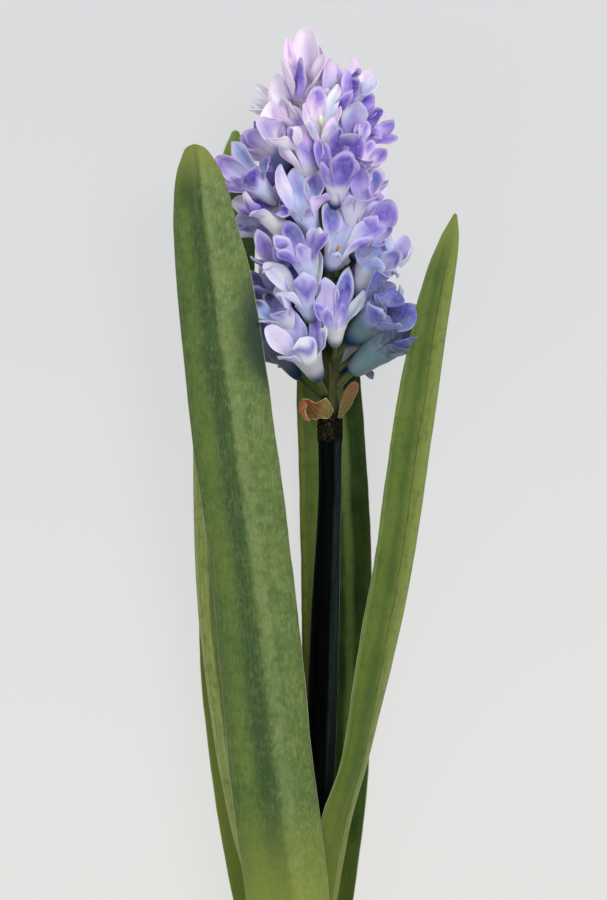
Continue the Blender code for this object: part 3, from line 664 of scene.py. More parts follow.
# the base and mouth of each tube; its size against a large floret; the turn of its first lobe; the
# tones of its foot and its tube. Then each lobe: its tones near the mouth, in its middle and at its
# tip; where its tip is from the mouth, out from the axis, on along it and aside; its share of the
# usual width; and its curl, inwards where it is over 0
florets = {
    1: ((1.2, 48.5, 39.6), (-2.3, 55.8, 45.7), 1.15, 12, "navy ash", [
        "white lilac white 11.1 13.1 -1.7 .8 .8", "grey lilac plum 12.3 8.3 3.5 .8 .5",
        "grey mauve lilac 13.7 12.3 -1.4 1.1 .1", "mauve rose rose 10.3 14.9 -1.9 1.05",
        "ash mist mauve 11.8 11.9 2.9 .8 .3", "white plum white 7.3 14.1 -.4 1.45 .5"]),
    # floret 2 is painted dusk and grey as shade behind floret 1
    2: ((-5.2, 49, 33.1), (-11.7, 57.3, 34.2), 0.84, 40, "navy dusk", [
        "dusk grey lilac 7.2 11.7 .4 1 0", "dusk grey lilac 9.7 10", "dusk grey grey 5.5 14.6 0 1 0",
        "dusk grey lilac 9.5 10.1", "dusk grey lilac 4.6 13.9 1.9 1 .1", "dusk dusk grey 9.1 8.5 -3.5 .8 0"]),
    3: ((6.6, 59.7, 40.2), (6.6, 66.7, 44.8), 0.95, 4, "teal cream", [
        "mist white white 9.6 11.8 2.9 .7 .8", "lilac deep blue 13.6 15.7 1.4 .85 .1",
        "mauve pink mauve 10.5 12.9 -3 1.15 .1", "mauve plum lilac 7.1 9.7 .3 1.1 .3",
        "mauve plum lilac 5.4 10.4 -.3 .7 .3", "mauve lilac plum 4.5 11.1 -.2 .5"]),
    # florets 4 and 5 are their own teal blue with painted shade where the front right leaf shades them
    4: ((12.1, 51, 35.1), (20.8, 58.7, 38.5), 1.36, 48, "teal teal", [
        "slate grey blue 10.2 10.5 -5.3 1.2 .1", "teal slate grey 8.6 8.5 4.6",
        "teal slate grey 8.7 13 -2 1.3 .4", "teal slate slate 13.3 10.5 -1.1 .9",
        "teal slate blue 3.4 12.8 -7.8 1.5 .1", "teal slate slate 13.4 17.6"]),
    5: ((10.7, 61.4, 38.4), (18.4, 68, 44), 1.3, 16, "navy teal", [
        "slate grey blue 10.4 9.9 4.2 1.6", "teal slate grey 8.1 5.4 -1.5 1.5 .3", "slate grey blue 12.4 17",
        "grey blue blue 11.4 12.4 1.3 1.3 .8", "slate grey grey 10.8 12.6 -3.3 1 .4",
        "slate grey blue 3.3 14.4 -.2 1.6 .3"]),
    6: ((22.1, 64.1, 27.6), (27.2, 67.5, 26.5), 0.85, 24, "navy slate", [
        "mist mauve lilac 9.4 8.1 -1.6 .9 0", "mist mauve lilac 10.8 9.4", "ice mauve ice 3.7 9.7 .7",
        "mist mauve lilac 6.6 4.3 .5 .9 .1", "mist mauve lilac 10.3 9.8", "ice mauve ice 10.8 9.4"]),
    7: ((-0.8, 67.4, 40.7), (-2.8, 74.7, 45), 0.98, 4, "teal mist", [
        "pearl mauve mauve 7.4 8 0 .5 .3", "white white white 9.6 15.5 -.5 .6 .8",
        "lilac plum blue 10.3 16.7 4 1.2 .1", "pearl white rose 12.2 15.4 -.1 1 0",
        "white rose rose 9.8 8.2 -2.3 1.1 .3", "mauve plum mauve 5.7 14.1 .4 1.2 .7"]),
    8: ((-7.9, 73.2, 32.6), (-11.7, 78.1, 33.7), 1, 40, "navy mist", [
        "plum pearl pink 6.4 9.1 -1.7 1 0", "blue mauve mist 12.3 11.3", "plum pearl pink 11.2 12.2",
        "lilac plum grey 6.1 12.3 -1.7 .9", "grey grey plum 8.9 9.2 3 1.25 .4",
        "blue mauve mist 7.3 11.7 .7 .9 .3"]),
    9: ((-6.6, 64.8, 38.2), (-10.3, 69.2, 42.2), 0.95, 20, "navy cream", [
        "pink lilac ice 5.7 10.9 -1.5 .9 .1", "pearl ice lilac 9.7 12.1", "lilac grey night 9.4 7.5 .5 1 0",
        "grey sky night 6.1 12.2 -1.2 1 .9", "pearl ice lilac 8.8 9.2 3.2", "pearl ice lilac 11.4 11.1"]),
    10: ((-6.6, 81.8, 37), (-11, 87.1, 40.3), 0.95, 52, "navy cream", [
        "mauve plum lilac 4.8 11.8 -1.5 1 .1", "blue plum grey 11.4 3.9 -.4 .9 0",
        "mauve lilac lilac 5.9 13.6 -3.4 .85 .1", "grey grey grey 6 11.3 4.2 1 .5",
        "mauve mist mauve 10.2 6.2 -.3 .7 0", "blue plum grey 10.9 11.4"]),
    11: ((-1.5, 80, 46.6), (-3.5, 87, 49.9), 0.9, 12, "lime mist", [
        "lilac plum plum 11.1 10.2", "pink lilac mauve 8.4 9.9 1 .85 .1",
        "lilac grey deep 7.9 14.1 1.4 1.05 .1", "mauve mauve lilac 8.3 11.9",
        "lilac plum plum 8.4 9.2 -1.9 1.1", "mauve mauve lilac 6.2 10.5 -1 .9 .3"]),
    12: ((4.3, 85.3, 41.6), (7, 91.5, 47.3), 1, 0, "navy mist", [
        "white mauve plum 14.5 12.3 .4 1.15 .1", "mist mauve pearl 11.9 9.1 -.3 1 0",
        "mist plum blue 12 10.6 -5.6 1.25 .15", "white white white 8.7 9.3 -1.4 .85 .9",
        "mist mist mist 4.3 3.1 1.6 .5 0", "white plum lilac 8.1 11.1 5 .95 .3"]),
    13: ((13.7, 76.2, 40.3), (17.5, 84.6, 42.6), 1.05, 24, "slate ash", [
        "mist sky sky 8.6 14.3", "mauve mauve lilac 8.2 10.2 -2.5 1.05 .1", "ash grey grey 9.6 7.2 5 .8",
        "mist sky sky 11.9 6.9 5.5 1 .6", "ash plum lilac 10 3.1 -1.8 .95 .1",
        "ash mauve blue 6.5 11.6 -3.7 1.35"]),
    14: ((19.3, 80.4, 30.8), (23.3, 86.6, 31.9), 0.95, 52, "cream grey", [
        "grey lilac mauve 11.1 11.2", "ice white white 9.2 12.4", "grey lilac mauve 7.8 9.5 -2.5 1 .1",
        "ice white white 7.1 1.8 1.5 .9 .1", "mist white ice 4 11.4 -.9 .9 .5",
        "mauve lilac mauve 3.6 13.4 1.2 1 .1"]),
    15: ((12.8, 88.6, 36.3), (16.5, 95, 39.4), 1, 20, "navy mist", [
        "mauve plum plum 6.5 15.8 1 1.3 .1", "pink grey mauve 9.7 13", "pink grey mauve 7.1 12.8 2.6 .9 .1",
        "pink lilac lilac 7 13.2 1.3 .9", "mauve lilac lilac 10.5 5.4 -2.5 .9",
        "pearl pink plum 5.3 10.4 -2.5"]),
    16: ((0.5, 95.7, 42.3), (-2.7, 103, 46), 0.98, 12, "teal mist", [
        "mauve pink lilac 10.3 7.8 .2 1.3 .6", "mist blue lilac 11 12.3 -.4 1.1 .1",
        "mist sky mauve 6.2 16.1 -1.9 1.15 .1", "mauve rose mauve 4.1 19.5 -4 .65 .4",
        "mist mauve mist 6.5 8.2 6.3 .6 .3", "mist mauve lilac 10.5 7.3 2.1 .55 .5"]),
    17: ((-8.6, 94.6, 38.2), (-14.6, 103.5, 40.4), 1, 20, "lime cream", [
        "mauve plum deep 9.3 -1.3 1.1 .8", "plum lilac rose 9.8 8.6 1.4 1.1 .3",
        "deep deep mauve 1.9 11.1 -3.2 1.5 .5", "deep plum rose 12.7 11.1",
        "deep plum rose 2.8 12.8 2.7 1.2 .6", "pearl pearl mauve 11.6 6.6 -1.3 .8 .3"]),
    18: ((-12.7, 96.7, 26), (-17.8, 100.3, 24.9), 0.95, 24, "cream lilac", [
        "ice mist mauve 2.5 9.6 -2.8 1 .1", "ice white ice 10.8 11.4", "ice white ice 6.2 10.9 1 1 0",
        "mist lilac plum 10 12", "ice white ice 11.7 10.8", "mist lilac plum 9.1 4.9 2.1 .9 0"]),
    19: ((11.7, 98.8, 41.9), (12.6, 105.7, 46.6), 0.95, 52, "cream pearl", [
        "mauve lilac plum 7.7 12.6 4.3 1 .1", "lilac grey plum 11.3 7.7 -3.6 1 0",
        "mauve lilac plum 4.7 12 -2.3 1.15 .1", "pearl mauve mist 7.1 9.4 2.2 .6",
        "pearl mauve lilac 11.5 10.9", "pearl mauve lilac 4.2 9.9 -1.9 1 0"]),
    20: ((6.6, 106.3, 45.7), (7.3, 113.4, 50.6), 0.98, 32, "navy pearl", [
        "plum deep plum 11.1 16.2 4.3 .95 .1", "plum deep plum 11.2 15.8 .3 1.1",
        "lilac plum plum 9 14.4 -3.8 .95", "lilac plum lilac 6.1 10.1 -2 .7",
        "plum deep deep 1.7 14.5 1.4 1.3 1", "plum plum lilac 5.5 11.3 .5 .8 .3"]),
    21: ((14.5, 104.4, 34), (16.5, 110.3, 35.1), 0.88, 16, "cream mist", [
        "mauve blue blue 10 10.6", "mauve pink deep 2.4 12 -.9 1 .4", "lilac plum plum 6.1 8.9 2.9 .7 .1",
        "mauve blue blue 10.9 -2.1 .9 .75 0", "mauve lilac pink 6.6 2.9 2.1 .9 .1",
        "mauve pink lilac 5.1 8.5 -4.5 1.3"]),
    22: ((-1.5, 115.1, 40.6), (-3, 120.8, 46.8), 0.98, 56, "lime cream", [
        "plum mauve mauve 11.5 9.3 4.1 .9", "plum lilac plum 13.9 11.1 -3.6 1.1 .1",
        "mauve mauve rose 6.9 8.2 -7.9 .9", "pink rose pink 3.9 9 -8 .85 .3",
        "mauve plum pink -4.6 13.1 1.8 1.2 .6", "plum lilac pink 6.3 8.3 2.5 .9 .3"]),
    23: ((-7.2, 119.4, 33.1), (-13.8, 124.9, 34.2), 0.95, 8, "navy grey", [
        "white mauve plum 1.6 13.6 -1.4", "slate grey sky 7.5 6.8 .7 1 0",
        "grey grey blue 5.4 12.8 -1.1 1.3 .1", "white mauve plum 7.9 12.9", "pearl rose pink 10.9 11.4",
        "pearl rose pink 8.7 8.7 2.1 .9 .1"]),
    24: ((-12.7, 108.5, 37.7), (-18.9, 113.6, 40.6), 0.95, 52, "lime mist", [
        "mist blue plum 11 5.4 -.9 1.4 .4", "mist sky sky 9.1 15.8 2.1 1.1 .5",
        "mist mauve plum 3.9 17.5 .9 1.15", "mauve lilac plum 10.8 11.4", "mauve lilac plum 4.6 11.2 .5 .8 0",
        "mauve deep deep 9.5 10.3 -1.8 1.35 .5"]),
    25: ((10.7, 121.3, 39.7), (11.4, 127.5, 45.1), 0.95, 20, "cream mist", [
        "mist mauve lilac 7.4 6.3 3.4 .9", "grey lilac mist 6.5 13.3 -.3 1.25 .7",
        "mist mist mauve 7.1 6.6 -3.8 .9", "plum plum plum 4.4 9.3 1.7 .6", "blue lilac mauve 10 12",
        "blue lilac mauve 4.1 9.7 -1.2 .6"]),
    26: ((12.4, 117.6, 38.4), (15.4, 121.4, 42), 0.82, 48, "cream rose", [
        "pink lilac lilac 7.2 6.1 .6 1.2 .3", "cream mauve lilac 9.9 9.4", "cream mauve lilac 6.8 8.6 1.5 .8",
        "pearl lilac lilac 10.3 9.1", "pearl pink mist 6.3 8.1 -2.6 .9 .5",
        "pearl lilac lilac 4.6 9.2 -.1 1.1 .5"]),
    27: ((12.5, 127.9, 29.7), (16.3, 131.2, 28.6), 0.9, 0, "cream lilac", [
        "plum plum lilac 10.6 10.6", "deep plum deep 2.6 11.9 .5 1.3 .5", "plum lilac plum 7.1 2.4 1.1 1 .1",
        "plum plum lilac 10.5 1.4 2.1 .9", "plum lilac deep 2.8 11.6 -2.4 1.3 .3",
        "plum lilac plum 9.1 11.5"]),
    28: ((-4.5, 123, 39.6), (-7, 128.1, 46.5), 1.1, 32, "cream pearl", [
        "lilac mauve rose 3.5 7.8 8.8 1.1 .3", "mauve rose rose 12.6 8.9 4.1",
        "lilac rose rose 10.5 11.3 -4.8 1.25 .35", "white mauve mauve 5.6 14.2 -3.7 1.45 .6",
        "white white rose 8.2 12.8 -4.2 1 .4", "white pearl rose 4.6 13.4 -2 .9 .4"]),
    29: ((2.2, 126.2, 45.8), (1.9, 131.1, 52.2), 0.92, 56, "lime pearl", [
        "mist ice white 14.6 9 3.1 .7 .1", "rose pink plum 10.7 10.3 -4.8 1.15 .5",
        "white rose rose 5.3 9 -4.9 .8 .4", "pearl mist mist 3.6 8.3 -1.3 .7 .3",
        "pearl mauve pink 2.8 8.8 3.3 .8 .5", "pearl rose pink 6.4 8.4 4.8 .8 .4"]),
    30: ((6.6, 135.8, 40.1), (7.1, 140.9, 46.6), 0.95, 32, "cream pearl", [
        "rose pearl plum 6.9 1.4 5.7 .9", "lilac pink lilac 12 7.4 -.4 1.1 .3",
        "mist mauve pink 6.8 11.6 -8.4 1.35 .5", "mist mauve rose .1 5.1 -9 1 .3",
        "plum deep plum 1.8 9 4.5 .9 .3", "plum plum lilac -.7 10.8 7.4 1.15 .5"]),
    31: ((10.1, 139.4, 37.9), (12.3, 143.9, 40.1), 0.75, 28, "cream lilac", [
        "ice white pink 8.1 9.3", "ice white pink 8.1 11.8 -.8 .6 .1", "plum deep deep 1.1 10.3 -.5 .85 .4",
        "plum deep deep 7.8 9.5", "mist mauve mist 6.2 5.1 -.2 .7 0", "mist ice ice 5.8 8.8 1.9 1.2 .1"]),
    32: ((10.2, 134.4, 25.6), (13.3, 138.5, 24.5), 0.8, 36, "cream plum", [
        "mauve mauve pink 4.9 8.2 .3 1 0", "mauve mauve pink 8.6 9.9", "lilac plum deep 3.5 9.8 .2 1.3 .3",
        "plum plum lilac 5.9 7.3 -.5 .9 .1", "mauve mauve pink 8.5 10", "lilac plum deep 9.5 9.3"]),
    33: ((-3.5, 128.2, 34), (-5.5, 133.9, 39.7), 0.95, 40, "cream pearl", [
        "mauve lilac plum 2.3 15.9 6.8 1 .1", "lilac rose pearl 12.4 10.6 -.4 1 .1",
        "pearl white rose 9.4 15.2 -7.6 1.1", "rose pearl pearl 5.1 11.5 -6 .9",
        "rose rose pearl 5.8 10.8 -3.5 .7 .3", "pearl rose rose 1 9.9 5.3 .9 0"]),
    34: ((-2.8, 138.3, 34.6), (-3.6, 144.7, 41.3), 1.06, 12, "cream pearl", [
        "rose lilac pink 7.1 12.6 9.4 .55 .4", "pink rose rose 15.8 15.9 5.8 1.65 .4",
        "lilac pink pink 13.3 15.6 -4.7 .45 .5", "rose rose rose 6.4 14 -3.9 1.35 .1",
        "lilac deep deep -5 12.2 -2.4 .65 .1", "white rose rose .8 13.7 8.6 1.25"]),
    35: ((-8.6, 134.4, 32.5), (-12.6, 138.4, 33.6), 0.75, 8, "cream rose", [
        "ice white white 8.4 9.1", "rose white rose 3.6 9.4 -1.3 .9 0", "ice white white 3.6 12.8 .3 .8 .1",
        "ice white white 8 9.4", "ice white white 4 9.5 .8 .8", "ice white white 8.8 8.8"]),
    # florets 45 and 47 are painted night and deep as shade between the florets
    45: ((-1.1, 101.3, 29.2), (-6.2, 103.9, 28.1), 1, 44, "navy night", [
        "night night deep 6.2 4.6 1.4 1.2 .1", "night deep plum 1.4 7.8 -3.6 1.2 .1",
        "night deep plum 11.1 12.2", "night deep plum 11.4 12", "night deep plum 3 8.5 4.1 1.3 .1",
        "night deep deep 8.8 4 -2.2 1.1 0"]),
    47: ((-2.5, 112.9, 28.6), (-8.5, 116, 27.5), 1, 48, "navy night", [
        "night night deep 6.7 4.8 1.7 1.2 .1", "night deep plum 2.9 9.3 -3.9 1.2 .1",
        "night deep plum 11.7 11.8", "night deep plum 10.7 12.5", "night deep plum 2.2 9.6 3.9 1.3 .1",
        "night deep deep 8.5 4.9 -2.4 1.1 0"]),
}

# the florets at the back of the spike: base, mouth, length, and the tones of the foot, of the first
# two parts of every lobe, and three for the tips to choose from
backFlorets = {
    # 36 to 40 are painted navy, night and slate as shade under the spike
    36: ((9.2, 50.3, 27.4), (13.3, 55.4, 21.2), 22, "navy", "night slate", "night slate grey"),
    37: ((0.9, 51.3, 27.9), (-3.9, 56.4, 22.1), 22, "navy", "night slate", "night slate grey"),
    38: ((4.8, 67.3, 26.9), (4.8, 72.4, 19.4), 22, "navy", "night slate", "night slate grey"),
    39: ((8.8, 71.3, 28.5), (13.4, 76.4, 22.6), 22, "navy", "night slate", "night slate grey"),
    40: ((-0.4, 71.3, 29.3), (-5.9, 76.4, 24.3), 22, "navy", "night slate", "night slate grey"),
    41: ((6.2, 87.2, 28.1), (8.9, 92, 21.5), 21, "cream", "pearl mauve", "pink plum mauve"),
    42: ((1.4, 87.2, 28.1), (-1.2, 92, 21.5), 21, "cream", "pearl mauve", "mauve plum pearl"),
    43: ((7.5, 102.1, 30.1), (12.7, 106.7, 25.8), 20, "cream", "pearl mauve", "white ice rose"),
    44: ((3, 104.1, 28), (3.2, 108.7, 21.2), 20, "cream", "pearl mauve", "white ice rose"),
    46: ((3.9, 119.9, 29.4), (6.6, 124, 24.4), 17, "cream", "pearl mauve", "white ice rose"),
    48: ((0.4, 134.7, 29.7), (0.7, 138.4, 25.3), 14, "cream", "pearl mauve", "white ice rose"),
    49: ((-3.1, 137.7, 31.1), (-5.7, 141.4, 28.4), 13, "cream", "pearl mauve", "white ice rose"),
}


def spreadFloret(number, base, mouth, length, foot, nearTones, tipTones):
    # six lobes that lean out by about 34 degrees; seeded draws vary their lean, reach, place and curl
    rng = np.random.default_rng(900 + number)
    size = length / 20 * 0.95    # against a floret 20 mm long
    lobes = []
    for _ in range(6):
        lean = math.radians(34 + 7 * rng.normal())
        reach = 13 * size * (1 + 0.06 * rng.normal())
        tipTone = tipTones.split()[rng.integers(3)]
        out, on = 3.3 * size + reach * math.sin(lean), reach * math.cos(lean)
        aside, curl = 0.8 * rng.normal(), 0.2 + 0.2 * rng.normal()
        lobes.append(f"{nearTones} {tipTone} {out:.1f} {on:.1f} {aside:.1f} 1 {curl:.1f}")
    return base, mouth, round(size, 2), int(rng.integers(60)), foot + " cream", lobes


for number, row in backFlorets.items():
    florets[number] = spreadFloret(number, *row)


def makePetalMaterial():
    # the tones come with the mesh; fine veins along each lobe and a soft mottle of pale painted sheen spots
    # go over them
    look = Finish("petal_lilac", Roughness=0.42, Subsurface_Weight=0.35, Subsurface_Scale=0.0015,
                  Subsurface_Radius=(1.0, 0.8, 1.0), Specular_IOR_Level=0.22, Sheen_Weight=0.06)
    along = look.read("along")
    lines = look.vector(look.times(look.read("across"), 9.0), look.times(along, 1.3), look.read("lobe"))
    veins = look.noise(lines, 1.0, 3, 0.6)
    cells = look.noise(look.place, 500.0, 2, 0.5)
    onLobe = look.span(along, 0.9, 1.3)
    look.colour = look.read("tone", "Color")
    veined = look.mix(1.0, look.colour, floretShape["veinTone"], "MULTIPLY")
    look.over(veined, look.times(look.span(veins, 0.5, 0.72, 0.0, 0.3), onLobe))
    look.over(floretShape["paleVein"], look.times(look.span(veins, 0.45, 0.28, 0.0, 0.16), onLobe))
    # pale painted sheen spots
    look.over(floretShape["paintedSheenSpots"], look.times(look.span(cells, 0.35, 0.7, 0.0, 0.12), onLobe))
    return look.done(veins, 0.25, 0.3)


def unit(vectors):
    return vectors / np.linalg.norm(vectors, axis=-1, keepdims=True)


def square(vectors, away):
    # the part of the vectors that is square to the unit vectors away, made a unit long
    return unit(vectors - away * (vectors * away).sum(-1, keepdims=True))


def bezier(points, t):
    # the curve of three or four points, and its direction, at the shares t
    if len(points) == 3:
        a, b, c = points
        return (1 - t) ** 2 * a + 2 * t * (1 - t) * b + t**2 * c, (1 - t) * (b - a) + t * (c - b)
    a, b, c, d = points
    place = (1 - t) ** 3 * a + 3 * t * (1 - t) ** 2 * b + 3 * t**2 * (1 - t) * c + t**3 * d
    return place, (1 - t) ** 2 * (b - a) + 2 * t * (1 - t) * (c - b) + t**2 * (d - c)


def paintFloret(height, tube, lobes, draw, tubeShare, lobeShare, across):
    # tones in turn: stalk, foot of the tube, tube, then each lobe's own three; over them a darker midrib, a
    # darker middle that is the lobe's deeper colour with painted shade in its cup, one side painted lighter
    # and the other darker as lit and shaded halves, and a pale rim that is the lobe's paler margin with a
    # painted highlight where light shines through the thin edge. tubeShare runs from -1 to 0 along the stalk
    # and on to
    # 1 at the mouth, lobeShare from 0 to 1 along a lobe
    lower = ease(130, 50, height)
    tones = np.array([[linear(*petalTones[tone]) for tone in lobe.split()[:3]] for lobe in lobes])
    tones = tones ** (1.08 + 0.14 * lower)    # the lower florets are deeper and bluer
    tones = (1.03 - 0.04 * lower) * tones * (1 - np.array([0.025 + 0.07 * lower, 0, 0.01]))
    draw = draw[..., None]
    near, middle, tip = (tones[:, k][:, None, None] * (1 + 0.04 * draw[2]) for k in range(3))
    foot, pale = (linear(*petalTones[tone]) for tone in tube.split())
    drift = 0.1 * np.sin(4.5 * across + 3 * draw[1]) + 0.06 * draw[0]
    inwards = 1 - np.abs(across)
    colour = linear(*petalTones["stalk"]) + np.zeros((*across.shape[:-1], 3))
    for tone, share in (
        (foot, ease(-0.05, 0.08, tubeShare)),
        (pale, ease(0.15, 0.7, tubeShare)),
        (near, ease(0.0, 0.22, lobeShare)),
        (middle, ease(0.18, 0.56, lobeShare + 0.05 * inwards + drift)),
        (tip, ease(0.48, 0.82, lobeShare + 0.08 * inwards + drift)),
    ):
        colour = colour + (tone - colour) * share
    midrib = hump(across, 0.24) * ease(0.15, 0.4, lobeShare) * ease(1.0, 0.7, lobeShare)
    colour = colour * (1 - midrib * np.array([0.2, 0.24, 0.08]) * (1 + 0.5 * draw[1]).clip(0, 2))
    # a darker middle to each lobe: its own deeper colour with painted shade in its cup
    edge = (np.abs(across) ** 3 + ((lobeShare - 0.5) / 0.5).clip(0, 1) ** 3) ** (1 / 3)
    colour = colour * (1 - 0.14 * ease(0.75, 0.1, edge) * ease(0.3, 0.7, lobeShare))
    # one side of each lobe painted lighter and the other darker, as lit and shaded halves
    shade = (0.16 * draw[0]).clip(-0.3, 0.3) * across * ease(0.1, 0.4, lobeShare)
    colour = colour * (1 + shade * np.array([1.0, 1.1, 0.6]))
    # a pale rim: the lobe's paler margin with a painted highlight where light shines through the thin edge,
    # weaker on dark lobes and pinker higher up
    rim = ease(0.58, 0.92, edge) * (1 - 0.3 * ease(0.94, 1.0, edge)) * ease(0.1, 0.45, lobeShare)
    rim = rim * (0.55 + 0.2 * draw[3]).clip(0.15, 0.9) * ease(0.1, 0.4, near.mean(axis=-1, keepdims=True))
    ice, orchid = linear(*petalTones["ice"]), linear(*petalTones["orchid"])
    colour = colour + (ice + (orchid - ice) * ease(40, 130, height) - colour) * rim
    return colour.clip(0, 1)


def makeFloret(number, floret, material):
    # the stalk and the tube are rings round a middle line. At the mouth six lobes part, each a strip
    # on a curve from the ring to its tip, with an arc of radius cup for its cross-section
    rng = np.random.default_rng(499 + number)
    base, mouth, size, roll, tubeTones, lobes = floret
    base, mouth = np.array(base), np.array(mouth)
    shape = floretShape
    columns, rows = shape["lobeColumns"], shape["lobeRows"]
    axis = unit(mouth - base)
    side = unit(np.cross([0, 1, 0], axis))
    second = np.cross(axis, side)
    across = np.linspace(-1, 1, columns)[None, None, :]
    turn = np.radians(roll + 60 * np.arange(6))[:, None, None]
    around = (turn + across * math.pi / 6)[..., None]
    ring = np.cos(around) * side + np.sin(around) * second

    # the stalk leaves the stem a little below the base
    centre, stemRadius = stemAt(base[1])
    outward = (base - centre) * [1, 0, 1]
    distance = np.linalg.norm(outward)
    start, startRadius = stemAt(base[1] - 0.75 * (distance - stemRadius) - 1.5)
    start = start + outward / distance * (startRadius - 0.5)
    share = np.linspace(0, 1, shape["stalkRows"])[:-1, None]
    bendPoint = base - axis * 0.5 * np.linalg.norm(base - start)
    stalk = bezier((start, bendPoint, base), share)[0]
    stalkRadius = shape["stalkRadius"] * size * np.minimum(1, share[:, 0] * 40)
    steps = np.linspace(0, 1, shape["tubeRows"]) ** 1.3
    tube = base + (mouth - base) * steps[:, None]
    tubeRadius = smoothBetween(shape["tube"], steps)[:, 0] * size
    line, radius = np.concatenate([stalk, tube]), np.concatenate([stalkRadius, tubeRadius])
    tubePoints = line[None, :, None] + ring * radius[None, :, None, None]

    # each lobe's middle line, and the two directions square to it
    table = [[float(word) for word in lobe.split()[3:]] for lobe in lobes]
    table = np.array([row + shape["usualLobe"][len(row) - 2:] for row in table])
    out, on, aside, wide, curl = table.T[..., None, None, None]
    draw = rng.normal(0, 1, (4, 6, 1, 1))
    t = np.sin(np.linspace(0, 1, rows) * math.pi / 2)[None, :, None]
    radial = (np.cos(turn) * side + np.sin(turn) * second)[:, :, None]
    lateral = np.cross(axis, radial)
    mouthRadius = tubeRadius[-1]
    root = mouth + radial * mouthRadius
    tip = mouth + radial * out + axis * on + lateral * aside
    length = np.linalg.norm(tip - root, axis=-1, keepdims=True)
    flare = math.radians(shape["flare"])
    firstTurn = (axis * math.cos(flare) + radial * math.sin(flare)) * length * shape["firstReach"]
    firstTurn = root + firstTurn
    chord = unit(tip - firstTurn)
    towards = square(-radial + 0.8 * axis, chord)
    lastTurn = tip - unit(chord + towards * curl) * length * shape["lastReach"]
    middle, direction = bezier((root, firstTurn, lastTurn, tip), t[..., None])
    direction = unit(direction)
    facing = unit(outward / distance + [0, 0, 1 if outward[2] > -0.5 * distance else -1])
    facing = facing * np.where((radial * facing).sum(-1, keepdims=True) < 0.35, 1, -1)
    inward = -radial + axis * ease(0, 0.6, t)[..., None] * 0.8
    inward = square(inward + facing * shape["turnUp"] * ease(0.05, 0.7, t)[..., None], direction)
    blend = ease(0.0, 0.3, t)[..., None]
    inward = unit(-radial * (1 - blend) + inward * blend)
    sideways = unit(lateral * (1 - blend) + np.cross(inward, direction) * blend)
    twist = (shape["twist"] * draw[3] * ease(0.1, 1.0, t))[..., None]
    sideways, inward = (sideways * np.cos(twist) + inward * np.sin(twist),
                        inward * np.cos(twist) - sideways * np.sin(twist))

    # its width, which closes to a point with a wavering outline, and its cup, ruffles and crease
    lobeSize = np.clip(length[..., 0] / (14 * size), 0.75, 1.08)
    halfWidth = shape["lobeHalfWidth"] * size * wide[..., 0] * lobeSize
    parting = ease(0.0, 0.55, t)
    broadest, (pointed, varies) = shape["broadest"], shape["pointed"]
    closing = np.clip(1 - np.clip((t - broadest) / (1 - broadest), 0, 1) ** 2.1, 0, 1)
    closing = closing ** (pointed + varies * draw[2]).clip(0.48, 1.0)
    half = np.sign(across)
    outline = np.sin(2 * math.pi * (0.8 * t + 0.35 * draw[1]) + 1.7 * half)
    outline = outline + 0.5 * np.sin(2 * math.pi * (2.1 * t + draw[0]) + 2.6 * half)
    width = mouthRadius * math.pi / 6 * (1 - parting) + halfWidth * parting
    width = width * closing * (1 + shape["waver"] * outline * ease(0.25, 0.6, t) * np.abs(across))
    cup = shape["cupRadius"] * size * (1 + 0.2 * draw[0]).clip(0.65, 1.6)
    cup = mouthRadius + (cup - mouthRadius) * ease(0.0, 0.6, t)
    arc = across * width / cup
    waves = np.sin(2 * math.pi * (1.1 * t + 0.25 * across) + 3 * draw[1])
    waves = waves + 0.5 * np.sin(2 * math.pi * (2.3 * t - 0.3 * across) + 5 * draw[2])
    ruffle = shape["ruffle"] * size * t**1.5 * across**2 * waves * closing
    crease = shape["crease"] * size * hump(across, 0.28) * ease(0.1, 0.45, t) * closing
    over = np.where(np.arange(6) % 2, 1, -1)[:, None, None]
    overlap = shape["overlap"] * size * over * ease(0, 0.25, t)
    lift = (1 - np.cos(arc)) * cup + ruffle - crease + overlap
    lobePoints = middle + sideways * (np.sin(arc) * cup)[..., None] + inward * lift[..., None]

    points = np.concatenate([tubePoints, lobePoints[:, 1:]], axis=1)
    full = points.shape[:3]
    faces = np.concatenate([gridFaces(*full[1:]) + k * full[1] * full[2] for k in range(6)])
    tubeShare = np.concatenate([share[:, 0] - 1, steps, np.ones(rows - 1)])[None, :, None]
    lobeShare = np.concatenate([np.zeros(len(line)), t[0, 1:, 0]])[None, :, None]
    wholeAcross = np.broadcast_to(across, full)
    colours = paintFloret(base[1], tubeTones, lobes, draw, tubeShare[..., None], lobeShare[..., None],
                          wholeAcross[..., None])
    numbers = {
        "across": np.abs(wholeAcross),
        "along": np.broadcast_to(tubeShare + lobeShare, full),
        "lobe": np.broadcast_to(7.0 * np.arange(6)[:, None, None], full),
    }
    name = f"floret_{number:02d}"
    piece = buildPiece(name + "_perianth", points, faces, material, numbers, colours)
    thicken(piece, shape["thickness"], -1)
    hand(piece, "petal_lilac", name)


pistils = {
    # floret number: tone, how far it stands out of the mouth, radius
    29: ((232, 238, 200), 8.5, 1.15),
    12: ((196, 160, 70), 3.2, 0.5),
    31: ((214, 228, 150), 5.0, 0.7),
    20: ((214, 220, 190), 4.0, 0.5),
    22: ((226, 226, 190), 3.5, 0.5),
    25: ((214, 220, 190), 4.0, 0.5),
    7: ((206, 196, 130), 3.0, 0.5),
}
pistilShape = {
    "profile": [(0, 0.01), (0.05, 0.4), (0.5, 0.45), (0.75, 0.95), (0.9, 0.8), (1, 0.01)],
    "below": 4,              # how far it reaches down into the tube
    "rows": 24,
    "columns": 16,
}


